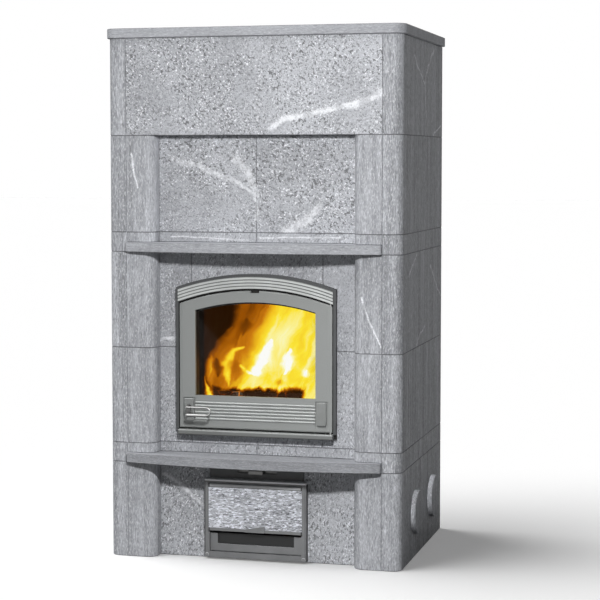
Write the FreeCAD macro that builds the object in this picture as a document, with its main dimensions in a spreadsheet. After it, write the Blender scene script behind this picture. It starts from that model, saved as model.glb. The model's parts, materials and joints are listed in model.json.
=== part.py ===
import FreeCAD, Part
import math
import os
import Sketcher

Vector = FreeCAD.Vector
Constraint = Sketcher.Constraint

os.makedirs("parts", exist_ok=True)
doc = FreeCAD.newDocument("SoapstoneOven")
sheet = doc.addObject("Spreadsheet::Sheet", "Sizes")
nodes = []

# Driving sizes, in millimetres or as counts
sizes = {
    # Stone casing
    "body_width": 1090,  # width over the side slabs
    "body_depth": 775,  # depth from the front plane to the back plane
    "course_height": 350,  # height of a full course of stone
    "thin_course_height": 71,  # height of the two thin courses that hold the shelves
    "side_thickness": 70,  # thickness of a side slab
    "corner_radius": 35,  # rounding of the casing's upright front edges
    "pilaster_width": 105,  # width of a pilaster
    "pilaster_radius": 35,  # rounding of a pilaster's inner edge
    "recess_depth": 60,  # how far the panels lie behind the front plane
    "panel_thickness": 60,  # thickness of the recessed panels
    "back_thickness": 60,  # thickness of the back slabs
    "arris": 2,  # eased edge of each casing stone
    "top_slab_thickness": 35,  # thickness of the top slab
    "top_slab_overhang": 10,  # overhang of the top slab at front and sides
    "shelf_thickness": 35,  # thickness of the mantel and hearth shelves
    "shelf_proud": 18,  # how far a shelf's ends stand out from the side slabs
    "shelf_bow": 47,  # how far a shelf's front edge bows out at its middle
    "shelf_corner": 8,  # rounded front corner of a shelf
    # Core behind the casing
    "core_wall": 60,  # thickness of the core's stones
    "firebox_margin": 2,  # the firebox is wider than the door frame's throat by this at each side
    "firebox_depth": 465,  # clear depth of the firebox
    "firebox_floor_rise": 34,  # height of the firebox floor above the thin course
    "throat_depth": 62,  # gap for smoke between roof and back wall
    "overflow_height": 190,  # gap for smoke above the upper chamber's walls
    "ash_chamber_width": 380,  # clear width of the ash chamber
    "base_slab_thickness": 30,  # thickness of the slab under the core
    "ash_chamber_depth": 410,  # clear depth of the ash chamber behind the panels
    "grate_width": 220,  # width of the grate
    "grate_depth": 200,  # depth of the grate
    "grate_thickness": 16,  # thickness of the grate
    "grate_ledge": 10,  # ledge that carries the grate in the floor
    "grate_bar": 10,  # width of a grate bar
    "grate_slot": 12,  # width of a slot between grate bars
    "flue_height": 200,  # height of the flue outlet's axis
    "flue_radius": 90,  # inner radius of the flue collar
    "flue_wall": 4,  # wall of the flue collar
    "flue_flange": 26,  # width of the collar's flange
    "flue_flange_thickness": 4,  # thickness of the collar's flange
    # Fire door
    "lintel_height": 86.5,  # stone between the hood's crown and the mantel shelf
    "door_width": 580,  # width of the hood and the sill bar
    "arch_radius": 842,  # radius of the hood's lower edge
    "hood_band": 44,  # height of the ribbed hood
    "hood_depth": 16.5,  # depth of the hood without its ribs
    "hood_rib_count": 4,  # ribs on the hood
    "hood_rib_height": 4,  # how far the hood's ribs stand out
    "hood_rib_groove": 4,  # groove between two hood ribs
    "frame_lip": 9.5,  # rim of the frame outside the hood and the leaf
    "frame_rim": 12.5,  # how far the frame's rim stands out from the sealing flange
    "frame_raise": 33.5,  # height of the door frame above the thin course
    "sill_height": 18.5,  # height of the frame's sill bar
    "sill_depth": 25,  # depth of the frame's sill bar
    "web_thickness": 3.5,  # plate of the frame that lies on the stone
    "flange_thickness": 6,  # raised sealing flange of the frame
    "seal_thickness": 3.5,  # rope seal between leaf and frame
    "seal_width": 7,  # width of the rope seal
    "leaf_thickness": 12,  # thickness of the door leaf
    "leaf_inset": 4,  # gap between the leaf's sides and the frame's rim
    "leaf_gap": 7,  # gap between the sill bar and the leaf
    "hood_gap": 7,  # gap between the leaf and the hood
    "leaf_bevel": 4,  # bevel of the leaf's front edge
    "leaf_side_bevel": 13,  # width of the bevel along the leaf's sides
    "leaf_side_drop": 3,  # depth of the bevel along the leaf's sides
    "seal_lap": 24,  # how far the leaf laps over the sealing flange
    "throat_step": 24,  # step from the sealing flange to the throat
    "throat_wall": 7.5,  # wall of the throat that lines the stone opening
    "fitting_gap": 1,  # play of an iron frame in its stone opening
    "window_border": 60.5,  # leaf beside the window
    "window_top_border": 41,  # leaf above the window
    "window_bottom_border": 119.5,  # ribbed panel of the leaf below the window
    "glass_lap": 8,  # how far the glass reaches behind the leaf
    "glass_thickness": 4,  # thickness of the glass
    "glass_seal_thickness": 1.5,  # seal between glass and leaf
    "clip_length": 22,  # length of a glass clip
    "clip_foot": 13,  # foot of a glass clip beside the glass
    "clip_lip": 6,  # lip of a glass clip over the glass
    "clip_plate": 2,  # plate thickness of a glass clip
    "clip_low": 60,  # lower clips above the window's sill
    "clip_high": 250,  # upper clips above the window's sill
    "notch_width": 33,  # width of the notch in the leaf's top edge
    "notch_depth": 8,  # depth of the notch in the leaf's top edge
    "rib_count": 6,  # ribs on the leaf below the window
    "rib_pitch": 11.8,  # pitch of the leaf's ribs
    "rib_width": 7.5,  # width of a leaf rib
    "rib_height": 4,  # how far a leaf rib stands out
    "rib_first": 34.5,  # lowest rib above the leaf's lower edge
    "plate_width": 34,  # width of the handle's plate
    "plate_height": 84,  # height of the handle's plate
    "plate_thickness": 6,  # thickness of the handle's plate
    "plate_corner": 5,  # rounded corners of the handle's plate
    "plate_sink": 4,  # how deep a plate sits in the leaf
    "plate_groove": 6.5,  # groove in the leaf beside a plate
    "plate_groove_top": 3,  # groove in the leaf above a plate
    "plate_groove_low": 11,  # groove in the leaf below a plate
    "plate_groove_corner": 12,  # rounded lower corners of the groove round a plate
    "plate_inset": 37.5,  # plate's middle from the leaf's edge
    "plate_rise": 66,  # plate's middle above the leaf's lower edge
    "hinge_inset": 6,  # door hinge axis from the leaf's edge
    "hinge_pin_radius": 3.5,  # radius of a door hinge pin
    "hinge_pin_depth": 12,  # depth of a door hinge pin in each piece
    "running_gap": 0.05,  # radial play of a pin that turns in its bore
    "seat_gap": 0.02,  # radial play of a pin that is fixed in its bore
    "sliding_gap": 0.3,  # play between pieces that slide or swing past each other
    "handle_rod": 3.5,  # radius of the handle's rod
    "handle_grip": 6.2,  # radius of the grip on the handle's lower prong
    "handle_spread": 14.3,  # handle's prongs above and below its axis
    "handle_reach": 79,  # handle's axis to the middle of its round end
    "handle_standoff": 41.5,  # handle's prongs in front of the plate
    "handle_bend": 7,  # bend radius of the handle's prongs
    "hub_radius": 7,  # radius of each end of the handle's hub
    "hub_thickness": 8,  # thickness of the handle's hub
    "spindle_radius": 5,  # radius of the handle's spindle
    "tongue_length": 11.5,  # reach of the latch tongue
    "tongue_thickness": 5,  # thickness of the latch tongue
    "tongue_gap": 1,  # gap between leaf and latch tongue
    # Ash flap, drawer and air slide
    "ash_opening_width": 353,  # opening between the base panels
    "air_slot_height": 55,  # height of the air slot above the ash frame
    "ash_frame_raise": 6,  # height of the ash frame above the ground
    "ash_frame_border": 15,  # width of the ash frame's stiles
    "ash_frame_depth": 28,  # depth of the ash frame
    "ash_top_rail": 13,  # height of the ash frame's top rail
    "ash_bottom_rail": 21,  # height of the ash frame's bottom rail
    "ash_ledge": 4,  # step in the stiles below the flap
    "bolt_head_radius": 8,  # head of an ash frame bolt
    "bolt_head_height": 4,  # height of an ash frame bolt's head
    "bolt_radius": 4,  # shank of an ash frame bolt
    "bolt_length": 18,  # length of an ash frame bolt's shank
    "bolt_inset": 9.5,  # ash frame bolt from the frame's outer edges
    "flap_barrel_radius": 8,  # hinge barrel of the flap and half its thickness
    "flap_gap": 1,  # gap round the flap
    "flap_top_strip": 8,  # iron strip of the flap below its hinge axis
    "flap_bottom_strip": 11,  # iron strip of the flap below its stone
    "flap_stone_thickness": 10,  # thickness of the flap's stone
    "flap_pin_radius": 3,  # radius of a flap hinge pin
    "flap_pin_depth": 8,  # depth of a flap hinge pin in each piece
    "tab_width": 73,  # width of the flap's pull tab
    "tab_rise": 24,  # height of the flap's pull tab
    "tab_start": 11,  # height of the pull tab at its low end
    "tab_thickness": 4,  # thickness of the flap's pull tab
    "tab_hole_radius": 2,  # hole in the flap's pull tab
    "drawer_height": 64,  # height of the ash drawer
    "drawer_length": 420,  # length of the ash drawer with its front
    "drawer_wall": 3,  # wall of the ash drawer's tray
    "drawer_front": 15,  # thickness of the ash drawer's front
    "drawer_setback": 9,  # ash drawer's front behind the ash frame's front
    "drawer_side_gap": 1,  # gap beside the ash drawer
    "drawer_flap_gap": 10.7,  # gap between ash drawer and flap
    "drawer_rim": 27,  # raised rim of the ash drawer's front at its sides
    "drawer_rim_low": 25,  # raised rim of the ash drawer's front at its foot
    "drawer_recess": 8,  # depth of the sunk field in the ash drawer's front
    "air_plate_thickness": 10,  # thickness of the air slide's guide plate
    "air_plate_lap": 12,  # how far the guide plate reaches behind the ash frame
    "air_tab_width": 56,  # width of the air slide's tab
    "air_tab_height": 12,  # height of the air slide's tab
    "air_tab_reach": 22,  # air slide's tab in front of the panels
    "air_tab_low": 22,  # air slide's tab above the ash frame
    "air_travel": 45,  # travel of the air slide to each side
    "air_shutter_width": 200,  # width of the air slide's shutter
    "air_shutter_height": 40,  # height of the air slide's shutter
    "air_shutter_thickness": 6,  # thickness of the air slide's shutter
    "air_grip": 4,  # rounded front edge of the air slide's tab
    # Soot hatches
    "soot_first": 260,  # first soot hatch from the front plane
    "soot_spacing": 321,  # distance between two soot hatches
    "soot_height": 167,  # height of the soot hatches' axes
    "soot_hole_radius": 65,  # hole of a soot hatch
    "soot_disc_radius": 80,  # disc of a soot plug
    "soot_disc_thickness": 17,  # how far a soot plug's disc stands out
    "soot_disc_round": 4,  # rounded edge of a soot plug's disc
    "soot_plug_length": 45,  # how far a soot plug reaches into its hole
}
for row, (name, number) in enumerate(sizes.items(), 1):
    sheet.set(f"A{row}", name)
    sheet.set(f"B{row}", str(number))
    sheet.setAlias(f"B{row}", name)
doc.recompute()

# Planes across the width
half_width = "(Sizes.body_width / 2)"
side_inner = f"({half_width} - Sizes.side_thickness)"
pilaster_inner = f"({side_inner} - Sizes.pilaster_width)"
door_half = "(Sizes.door_width / 2)"
rim_half = f"({door_half} + Sizes.frame_lip)"
leaf_half = f"({door_half} - Sizes.leaf_inset)"
flange_half = f"({leaf_half} - Sizes.seal_lap)"
throat_half = f"({flange_half} - Sizes.throat_step)"
throat_outer = f"({throat_half} + Sizes.throat_wall)"
stone_half = f"({throat_outer} + Sizes.fitting_gap)"
window_half = f"({leaf_half} - Sizes.window_border)"
glass_half = f"({window_half} + Sizes.glass_lap)"
hinge_x = f"({leaf_half} - Sizes.hinge_inset)"
plate_x = f"({leaf_half} - Sizes.plate_inset)"
firebox_half = f"({throat_half} + Sizes.firebox_margin)"
core_half = f"({firebox_half} + Sizes.core_wall)"
ash_half = "(Sizes.ash_opening_width / 2)"
ash_outer = f"({ash_half} + Sizes.ash_frame_border)"
flap_half = f"({ash_half} - Sizes.flap_gap)"
drawer_half = f"({ash_half} - Sizes.ash_ledge - Sizes.drawer_side_gap)"

# Planes through the depth
front = "(-Sizes.body_depth / 2)"
panel_front = f"({front} + Sizes.recess_depth)"
panel_back = f"({panel_front} + Sizes.panel_thickness)"
back = "(Sizes.body_depth / 2)"
back_inner = f"({back} - Sizes.back_thickness)"
web_front = f"({panel_front} - Sizes.web_thickness)"
flange_front = f"({web_front} - Sizes.flange_thickness)"
leaf_back = f"({flange_front} - Sizes.seal_thickness)"
leaf_front = f"({leaf_back} - Sizes.leaf_thickness)"
hinge_y = f"({leaf_back} - Sizes.leaf_thickness / 2)"
plate_front = f"({leaf_front} - Sizes.plate_thickness)"
plate_back = f"({leaf_front} + Sizes.plate_sink)"
hub_back = f"({plate_front} - Sizes.sliding_gap)"
hub_front = f"({hub_back} - Sizes.hub_thickness)"
glass_front = f"({leaf_back} + Sizes.glass_seal_thickness)"
glass_back = f"({glass_front} + Sizes.glass_thickness)"
firebox_back = f"({panel_back} + Sizes.firebox_depth)"
core_back = f"({firebox_back} + Sizes.core_wall)"
ash_back = f"({panel_back} + Sizes.ash_chamber_depth)"
ash_front = f"({panel_front} - Sizes.ash_frame_depth)"
flap_back = f"({ash_front} + 2 * Sizes.flap_barrel_radius)"
flap_axis_y = f"({ash_front} + Sizes.flap_barrel_radius)"
flap_stone_back = f"({ash_front} + Sizes.flap_stone_thickness)"
drawer_y = f"({ash_front} + Sizes.drawer_setback)"
tray_front = f"({drawer_y} + Sizes.drawer_front)"
air_plate_back = f"({panel_front} + Sizes.air_plate_thickness)"
shutter_front = f"({air_plate_back} + Sizes.sliding_gap)"

# Levels from the ground up
base_top = "Sizes.course_height"
hearth_top = f"({base_top} + Sizes.thin_course_height)"
door_middle = f"({hearth_top} + Sizes.course_height)"
door_top = f"({door_middle} + Sizes.course_height)"
mantel_top = f"({door_top} + Sizes.thin_course_height)"
upper_top = f"({mantel_top} + Sizes.course_height)"
crown_top = f"({upper_top} + Sizes.course_height)"
hearth_shelf_top = f"({base_top} + Sizes.shelf_thickness)"
mantel_shelf_top = f"({door_top} + Sizes.shelf_thickness)"
firebox_floor = f"({hearth_top} + Sizes.firebox_floor_rise)"
core_floor = f"({firebox_floor} - Sizes.core_wall)"
roof_top = f"({door_top} + Sizes.core_wall)"
chamber_top = f"({crown_top} - Sizes.overflow_height)"
frame_low = f"({hearth_top} + Sizes.frame_raise)"
sill_top = f"({frame_low} + Sizes.sill_height)"
leaf_low = f"({sill_top} + Sizes.leaf_gap)"
flange_low = f"({leaf_low} + Sizes.seal_lap)"
throat_low = f"({flange_low} + Sizes.throat_step)"
throat_outer_low = f"({throat_low} - Sizes.throat_wall)"
stone_sill = f"({throat_outer_low} - Sizes.fitting_gap)"
window_low = f"({leaf_low} + Sizes.window_bottom_border)"
glass_low = f"({window_low} - Sizes.glass_lap)"
plate_z = f"({leaf_low} + Sizes.plate_rise)"
ash_frame_top = f"({base_top} - Sizes.air_slot_height)"
flap_axis_z = f"({ash_frame_top} - Sizes.ash_top_rail - Sizes.flap_gap - Sizes.flap_barrel_radius)"
flap_stone_top = f"({flap_axis_z} - Sizes.flap_top_strip)"
drawer_low = "(Sizes.base_slab_thickness + Sizes.sliding_gap)"
drawer_top = f"({drawer_low} + Sizes.drawer_height)"
flap_low = f"({drawer_top} + Sizes.drawer_flap_gap)"
flap_stone_low = f"({flap_low} + Sizes.flap_bottom_strip)"
air_tab_z = f"({ash_frame_top} + Sizes.air_tab_low)"

# Arches of the door, all round one centre
hood_radius = "(Sizes.arch_radius + Sizes.hood_band)"
rim_radius = f"({hood_radius} + Sizes.frame_lip)"
arch_centre = f"({door_top} - Sizes.lintel_height - {hood_radius})"
leaf_radius = "(Sizes.arch_radius - Sizes.hood_gap)"
flange_radius = f"({leaf_radius} - Sizes.seal_lap)"
throat_radius = f"({flange_radius} - Sizes.throat_step)"
throat_outer_radius = f"({throat_radius} + Sizes.throat_wall)"
stone_radius = f"({throat_outer_radius} + Sizes.fitting_gap)"
window_radius = f"({leaf_radius} - Sizes.window_top_border)"
glass_radius = f"({window_radius} + Sizes.glass_lap)"
leaf_corner = f"({arch_centre} + sqrt({leaf_radius}^2 - {hinge_x}^2))"


def value(expression):
    """The number that an expression of the sheet's sizes gives now."""
    return float(sheet.evalExpression(expression))


def node(item, name):
    """Gives a finished piece the name that its file gets."""
    item.Label = name
    nodes.append(item)
    return item


def new_body(name):
    """An empty body for one piece."""
    return doc.addObject("PartDesign::Body", name)


def origin_part(body, role):
    """One of a body's own planes or axes."""
    for feature in body.Origin.OriginFeatures:
        if feature.Role == role:
            return feature
    raise ValueError(role)


def sketch_on(body, role, across, up, out):
    """A sketch on one of the body's planes, moved across, up and out of that plane."""
    sketch = body.newObject("Sketcher::SketchObject", "sketch")
    sketch.AttachmentSupport = (origin_part(body, role), "")
    sketch.MapMode = "FlatFace"
    sketch.setExpression("AttachmentOffset.Base.x", across)
    sketch.setExpression("AttachmentOffset.Base.y", up)
    sketch.setExpression("AttachmentOffset.Base.z", out)
    return sketch


def plan(body, x, y, z):
    """A sketch seen from above."""
    return sketch_on(body, "XY_Plane", x, y, z)


def elevation(body, x, z, y):
    """A sketch seen from the front, from which pads grow forwards."""
    return sketch_on(body, "XZ_Plane", x, z, f"-({y})")


def section(body, y, z, x):
    """A sketch seen from the side, from which pads grow to the right."""
    return sketch_on(body, "YZ_Plane", y, z, x)


def bind(sketch, constraint, expression):
    """Adds a constraint whose number follows an expression."""
    index = sketch.addConstraint(constraint)
    sketch.setExpression(f"Constraints[{index}]", expression)


def segment(sketch, start, end):
    """A straight line in a sketch."""
    return sketch.addGeometry(Part.LineSegment(Vector(*start, 0), Vector(*end, 0)))


def arc(sketch, centre, radius, first, last):
    """A circular arc in a sketch, from one angle to another."""
    circle = Part.Circle(Vector(*centre, 0), Vector(0, 0, 1), radius)
    return sketch.addGeometry(Part.ArcOfCircle(circle, first, last))


def place_point(sketch, line, end, x, y):
    """Ties a line's end to a place given by two expressions, either of which may be None."""
    if x is not None:
        bind(sketch, Constraint("DistanceX", -1, 1, line, end, value(x)), x)
    if y is not None:
        bind(sketch, Constraint("DistanceY", -1, 1, line, end, value(y)), y)


def polygon(sketch, points):
    """A closed outline through points whose places are expressions."""
    spots = [(value(x), value(y)) for x, y in points]
    lines = []
    for index, spot in enumerate(spots):
        lines.append(segment(sketch, spot, spots[(index + 1) % len(spots)]))
    for index, line in enumerate(lines):
        sketch.addConstraint(Constraint("Coincident", line, 2, lines[(index + 1) % len(lines)], 1))
    for line, (x, y) in zip(lines, points):
        place_point(sketch, line, 1, x, y)


def rectangle(sketch, width, height, rounds=()):
    """A rectangle from the sketch's origin; rounds gives corner numbers, anticlockwise, with radii."""
    wide = value(width)
    high = value(height)
    radii = dict(rounds)
    corners = ((0, 0), (wide, 0), (wide, high), (0, high))
    along = ((1, 0), (0, 1), (-1, 0), (0, -1))
    cut = [value(radii[corner]) if corner in radii else 0 for corner in range(4)]
    lines = []
    for corner, (x, y) in enumerate(corners):
        follow = (corner + 1) % 4
        step = along[corner]
        start = (x + step[0] * cut[corner], y + step[1] * cut[corner])
        end = (corners[follow][0] - step[0] * cut[follow], corners[follow][1] - step[1] * cut[follow])
        lines.append(segment(sketch, start, end))
    for corner, (x, y) in enumerate(corners):
        before = lines[corner - 1]
        after = lines[corner]
        if corner not in radii:
            sketch.addConstraint(Constraint("Coincident", before, 2, after, 1))
            continue
        inward = (along[corner][0] - along[corner - 1][0], along[corner][1] - along[corner - 1][1])
        centre = (x + inward[0] * cut[corner], y + inward[1] * cut[corner])
        first = math.pi + corner * math.pi / 2
        curve = arc(sketch, centre, cut[corner], first, first + math.pi / 2)
        sketch.addConstraint(Constraint("Tangent", before, 2, curve, 1))
        sketch.addConstraint(Constraint("Tangent", curve, 2, after, 1))
        bind(sketch, Constraint("Radius", curve, cut[corner]), radii[corner])
    for line in (lines[0], lines[2]):
        sketch.addConstraint(Constraint("Horizontal", line))
    for line in (lines[1], lines[3]):
        sketch.addConstraint(Constraint("Vertical", line))
    sketch.addConstraint(Constraint("PointOnObject", lines[0], 1, -1))
    sketch.addConstraint(Constraint("PointOnObject", lines[3], 1, -2))
    place_point(sketch, lines[1], 1, width, None)
    place_point(sketch, lines[2], 1, None, height)


def arched(sketch, half, low, radius):
    """An outline with upright sides, a level foot and an arched top round the sketch's origin."""
    reach = value(half)
    foot = value(low)
    bend = value(radius)
    lift = math.asin(reach / bend)
    height = math.sqrt(bend * bend - reach * reach)
    top = arc(sketch, (0, 0), bend, math.pi / 2 - lift, math.pi / 2 + lift)
    left = segment(sketch, (-reach, height), (-reach, foot))
    bottom = segment(sketch, (-reach, foot), (reach, foot))
    right = segment(sketch, (reach, foot), (reach, height))
    ring = (top, left, bottom, right)
    for index, item in enumerate(ring):
        sketch.addConstraint(Constraint("Coincident", item, 2, ring[(index + 1) % 4], 1))
    sketch.addConstraint(Constraint("Coincident", top, 3, -1, 1))
    sketch.addConstraint(Constraint("Vertical", left))
    sketch.addConstraint(Constraint("Horizontal", bottom))
    sketch.addConstraint(Constraint("Vertical", right))
    bind(sketch, Constraint("Radius", top, bend), radius)
    place_point(sketch, right, 1, half, low)
    place_point(sketch, left, 2, f"-{half}", None)


def arch_band(sketch, half, inner, outer):
    """A band between two arches round the sketch's origin, cut off by upright ends."""
    reach = value(half)
    curves = []
    for radius in (inner, outer):
        bend = value(radius)
        lift = math.asin(reach / bend)
        curve = arc(sketch, (0, 0), bend, math.pi / 2 - lift, math.pi / 2 + lift)
        sketch.addConstraint(Constraint("Coincident", curve, 3, -1, 1))
        bind(sketch, Constraint("Radius", curve, bend), radius)
        curves.append(curve)
    for end, x in ((1, half), (2, f"-{half}")):
        side = math.copysign(reach, 1.5 - end)
        heights = [math.sqrt(value(radius) ** 2 - reach * reach) for radius in (inner, outer)]
        line = segment(sketch, (side, heights[0]), (side, heights[1]))
        sketch.addConstraint(Constraint("Coincident", line, 1, curves[0], end))
        sketch.addConstraint(Constraint("Coincident", line, 2, curves[1], end))
        sketch.addConstraint(Constraint("Vertical", line))
        place_point(sketch, line, 1, x, None)


def circle(sketch, x, y, radius):
    """A full circle in a sketch."""
    spot = Vector(value(x), value(y), 0)
    ring = sketch.addGeometry(Part.Circle(spot, Vector(0, 0, 1), value(radius)))
    place_point(sketch, ring, 3, x, y)
    bind(sketch, Constraint("Radius", ring, value(radius)), radius)


def pad(body, sketch, length):
    """Grows a sketch into the body."""
    feature = body.newObject("PartDesign::Pad", "pad")
    feature.Profile = sketch
    feature.setExpression("Length", length)
    body.Tip = feature
    return feature


def pocket(body, sketch, length, forwards=False):
    """Cuts a sketch into the body, against the sketch's own direction unless told forwards."""
    feature = body.newObject("PartDesign::Pocket", "pocket")
    feature.Profile = sketch
    feature.Reversed = forwards
    feature.setExpression("Length", length)
    body.Tip = feature
    return feature


def turn(body, sketch, axis):
    """Turns a sketch all round one of its own axes."""
    feature = body.newObject("PartDesign::Revolution", "turn")
    feature.Profile = sketch
    feature.ReferenceAxis = (sketch, [axis])
    feature.Angle = 360
    body.Tip = feature
    return feature


def repeat(body, feature, role, count, span):
    """Repeats a feature along one of the body's axes over a span."""
    pattern = body.newObject("PartDesign::LinearPattern", "pattern")
    pattern.Originals = [feature]
    pattern.Direction = (origin_part(body, role), [""])
    pattern.setExpression("Occurrences", count)
    pattern.setExpression("Length", span)
    body.Tip = pattern
    return pattern


def outer_edges(feature, ways):
    """Names of a feature's sharp edges beside faces that look one of the given ways."""
    doc.recompute()
    shape = feature.Shape
    names = []
    for number, edge in enumerate(shape.Edges, 1):
        middle = edge.valueAt((edge.FirstParameter + edge.LastParameter) / 2)
        normals = []
        for face in shape.ancestorsOfType(edge, Part.Face):
            normals.append(face.normalAt(*face.Surface.parameter(middle)))
        if len(normals) < 2 or normals[0].dot(normals[1]) > 0.9:
            continue
        if any(normal.dot(way) > 0.6 for normal in normals for way in ways):
            names.append(f"Edge{number}")
    return names


def upright_edges(feature, limit):
    """Names of a feature's upright edges in front of a plane."""
    doc.recompute()
    names = []
    for number, edge in enumerate(feature.Shape.Edges, 1):
        box = edge.BoundBox
        if box.YMax < limit and box.ZLength > max(box.XLength, box.YLength):
            names.append(f"Edge{number}")
    return names


def ease(body, feature, ways, amount="Sizes.arris", kind="Chamfer"):
    """Eases the sharp edges of the faces that look one of the given ways."""
    names = outer_edges(feature, ways)
    eased = body.newObject(f"PartDesign::{kind}", "eased")
    eased.Base = (feature, names)
    eased.setExpression("Size" if kind == "Chamfer" else "Radius", amount)
    body.Tip = eased
    return eased


def mirrored(right, name):
    """The mirror image, on the left, of a piece on the right."""
    left = doc.addObject("Part::Mirroring", name)
    left.Source = right
    left.Normal = Vector(1, 0, 0)
    return left


def group(name, items):
    """Several separate solids as one node."""
    together = doc.addObject("Part::Compound", name)
    together.Links = items
    return node(together, name)


def pair(name, right):
    """A piece on the right with its mirror image on the left, as one node of two solids."""
    return group(name, [right, mirrored(right, f"{name}_left")])


def block(name, x, y, z):
    """A plain square stone between three pairs of planes."""
    stone = doc.addObject("Part::Box", name)
    for length, letter, (low, high) in (("Length", "x", x), ("Width", "y", y), ("Height", "z", z)):
        stone.setExpression(length, f"{high} - {low}")
        stone.setExpression(f"Placement.Base.{letter}", low)
    return stone


def casing_stone(name, x, y, z, ways, rounds=()):
    """A stone of the casing, drawn from above, with eased edges where it shows."""
    body = new_body(name)
    sketch = plan(body, x[0], y[0], z[0])
    rectangle(sketch, f"{x[1]} - {x[0]}", f"{y[1]} - {y[0]}", rounds)
    ease(body, pad(body, sketch, f"{z[1]} - {z[0]}"), ways)
    return body


FORWARDS = Vector(0, -1, 0)
BACKWARDS = Vector(0, 1, 0)
RIGHT = Vector(1, 0, 0)
UP = Vector(0, 0, 1)
DOWN = Vector(0, 0, -1)

courses = (
    ("base", "0", base_top),
    ("hearth_course", base_top, hearth_top),
    ("door_lower", hearth_top, door_middle),
    ("door_upper", door_middle, door_top),
    ("mantel_course", door_top, mantel_top),
    ("upper", mantel_top, upper_top),
    ("crown", upper_top, crown_top),
)


def soot_places():
    """Distances of the soot hatches from the front plane, with a word for each."""
    return (("front", "Sizes.soot_first"), ("rear", "(Sizes.soot_first + Sizes.soot_spacing)"))


def side_slabs():
    """One slab to each side in each course, rounded at the front, with soot holes in the lowest."""
    for course, low, high in courses:
        name = f"side_slabs_{course}"
        x = (side_inner, half_width)
        rounds = ((1, "Sizes.corner_radius"),)
        slab = casing_stone(f"{name}_right", x, (front, back), (low, high), (FORWARDS, RIGHT), rounds)
        if course == "base":
            sketch = section(slab, front, "Sizes.soot_height", half_width)
            for word, distance in soot_places():
                circle(sketch, distance, "0", "Sizes.soot_hole_radius")
            pocket(slab, sketch, "Sizes.side_thickness")
        pair(name, slab)


def back_slabs():
    """One slab at the back of each course; the lowest has the flue hole."""
    upper = []
    for course, low, high in courses:
        x = (f"-{side_inner}", side_inner)
        slab = casing_stone(f"back_slab_{course}", x, (back_inner, back), (low, high), (BACKWARDS,))
        if course != "base":
            upper.append(slab)
            continue
        sketch = elevation(slab, "0", "Sizes.flue_height", back)
        circle(sketch, "0", "0", "Sizes.flue_radius + Sizes.flue_wall + Sizes.sliding_gap")
        pocket(slab, sketch, "Sizes.back_thickness", True)
        node(slab, "back_slab_base")
    group("back_slabs", upper)


def pilasters():
    """A pilaster to each side in each course below the frieze, rounded towards the recess."""
    above = {"hearth_course": hearth_shelf_top, "mantel_course": mantel_shelf_top}
    for course, low, high in courses[:-1]:
        name = f"pilasters_{course}"
        x = (pilaster_inner, side_inner)
        z = (above.get(course, low), high)
        rounds = ((0, "Sizes.pilaster_radius"),)
        pair(name, casing_stone(f"{name}_right", x, (front, panel_back), z, (FORWARDS, -RIGHT), rounds))


def front_panels():
    """The frieze at the front plane and the panels and strips of the recess."""
    depth = (panel_front, panel_back)
    wide = (f"-{side_inner}", side_inner)
    level = (upper_top, crown_top)
    frieze = casing_stone("frieze_panel", wide, (front, panel_back), level, (FORWARDS, DOWN))
    node(frieze, "frieze_panel")
    right = ("0", pilaster_inner)
    for name, level in (
        ("upper_panels", (mantel_top, upper_top)),
        ("mantel_course_strips", (mantel_shelf_top, mantel_top)),
        ("hearth_course_strips", (hearth_shelf_top, hearth_top)),
    ):
        pair(name, casing_stone(f"{name}_right", right, depth, level, (FORWARDS,)))
    jamb = (stone_half, pilaster_inner)
    jambs = []
    for word, level in (("lower", (hearth_top, door_middle)), ("upper", (door_middle, door_top))):
        stone = casing_stone(f"jamb_{word}_right", jamb, depth, level, (FORWARDS,))
        jambs.extend((stone, mirrored(stone, f"jamb_{word}_left")))
    group("jamb_stones", jambs)
    opening = (f"-{stone_half}", stone_half)
    sill = casing_stone("sill_stone", opening, depth, (hearth_top, stone_sill), (FORWARDS,))
    node(sill, "sill_stone")
    base = (ash_half, pilaster_inner)
    pair("base_panels", casing_stone("base_panels_right", base, depth, ("0", base_top), (FORWARDS,)))


def lintel_stone():
    """The stone over the door, arched underneath round the door's throat."""
    body = new_body("lintel_stone")
    sketch = elevation(body, "0", arch_centre, panel_back)
    top = f"{door_top} - {arch_centre}"
    reach = value(stone_half)
    bend = value(stone_radius)
    lift = math.asin(reach / bend)
    height = math.sqrt(bend * bend - reach * reach)
    under = arc(sketch, (0, 0), bend, math.pi / 2 - lift, math.pi / 2 + lift)
    left = segment(sketch, (-reach, height), (-reach, value(top)))
    over = segment(sketch, (-reach, value(top)), (reach, value(top)))
    right = segment(sketch, (reach, value(top)), (reach, height))
    ring = (under, left, over, right)
    for index, item in enumerate(ring):
        sketch.addConstraint(Constraint("Coincident", item, 2, ring[(index + 1) % 4], 1))
    sketch.addConstraint(Constraint("Coincident", under, 3, -1, 1))
    sketch.addConstraint(Constraint("Vertical", left))
    sketch.addConstraint(Constraint("Horizontal", over))
    sketch.addConstraint(Constraint("Vertical", right))
    bind(sketch, Constraint("Radius", under, bend), stone_radius)
    place_point(sketch, right, 1, stone_half, top)
    place_point(sketch, left, 2, f"-{stone_half}", None)
    ease(body, pad(body, sketch, "Sizes.panel_thickness"), (FORWARDS,))
    node(body, "lintel_stone")


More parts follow.
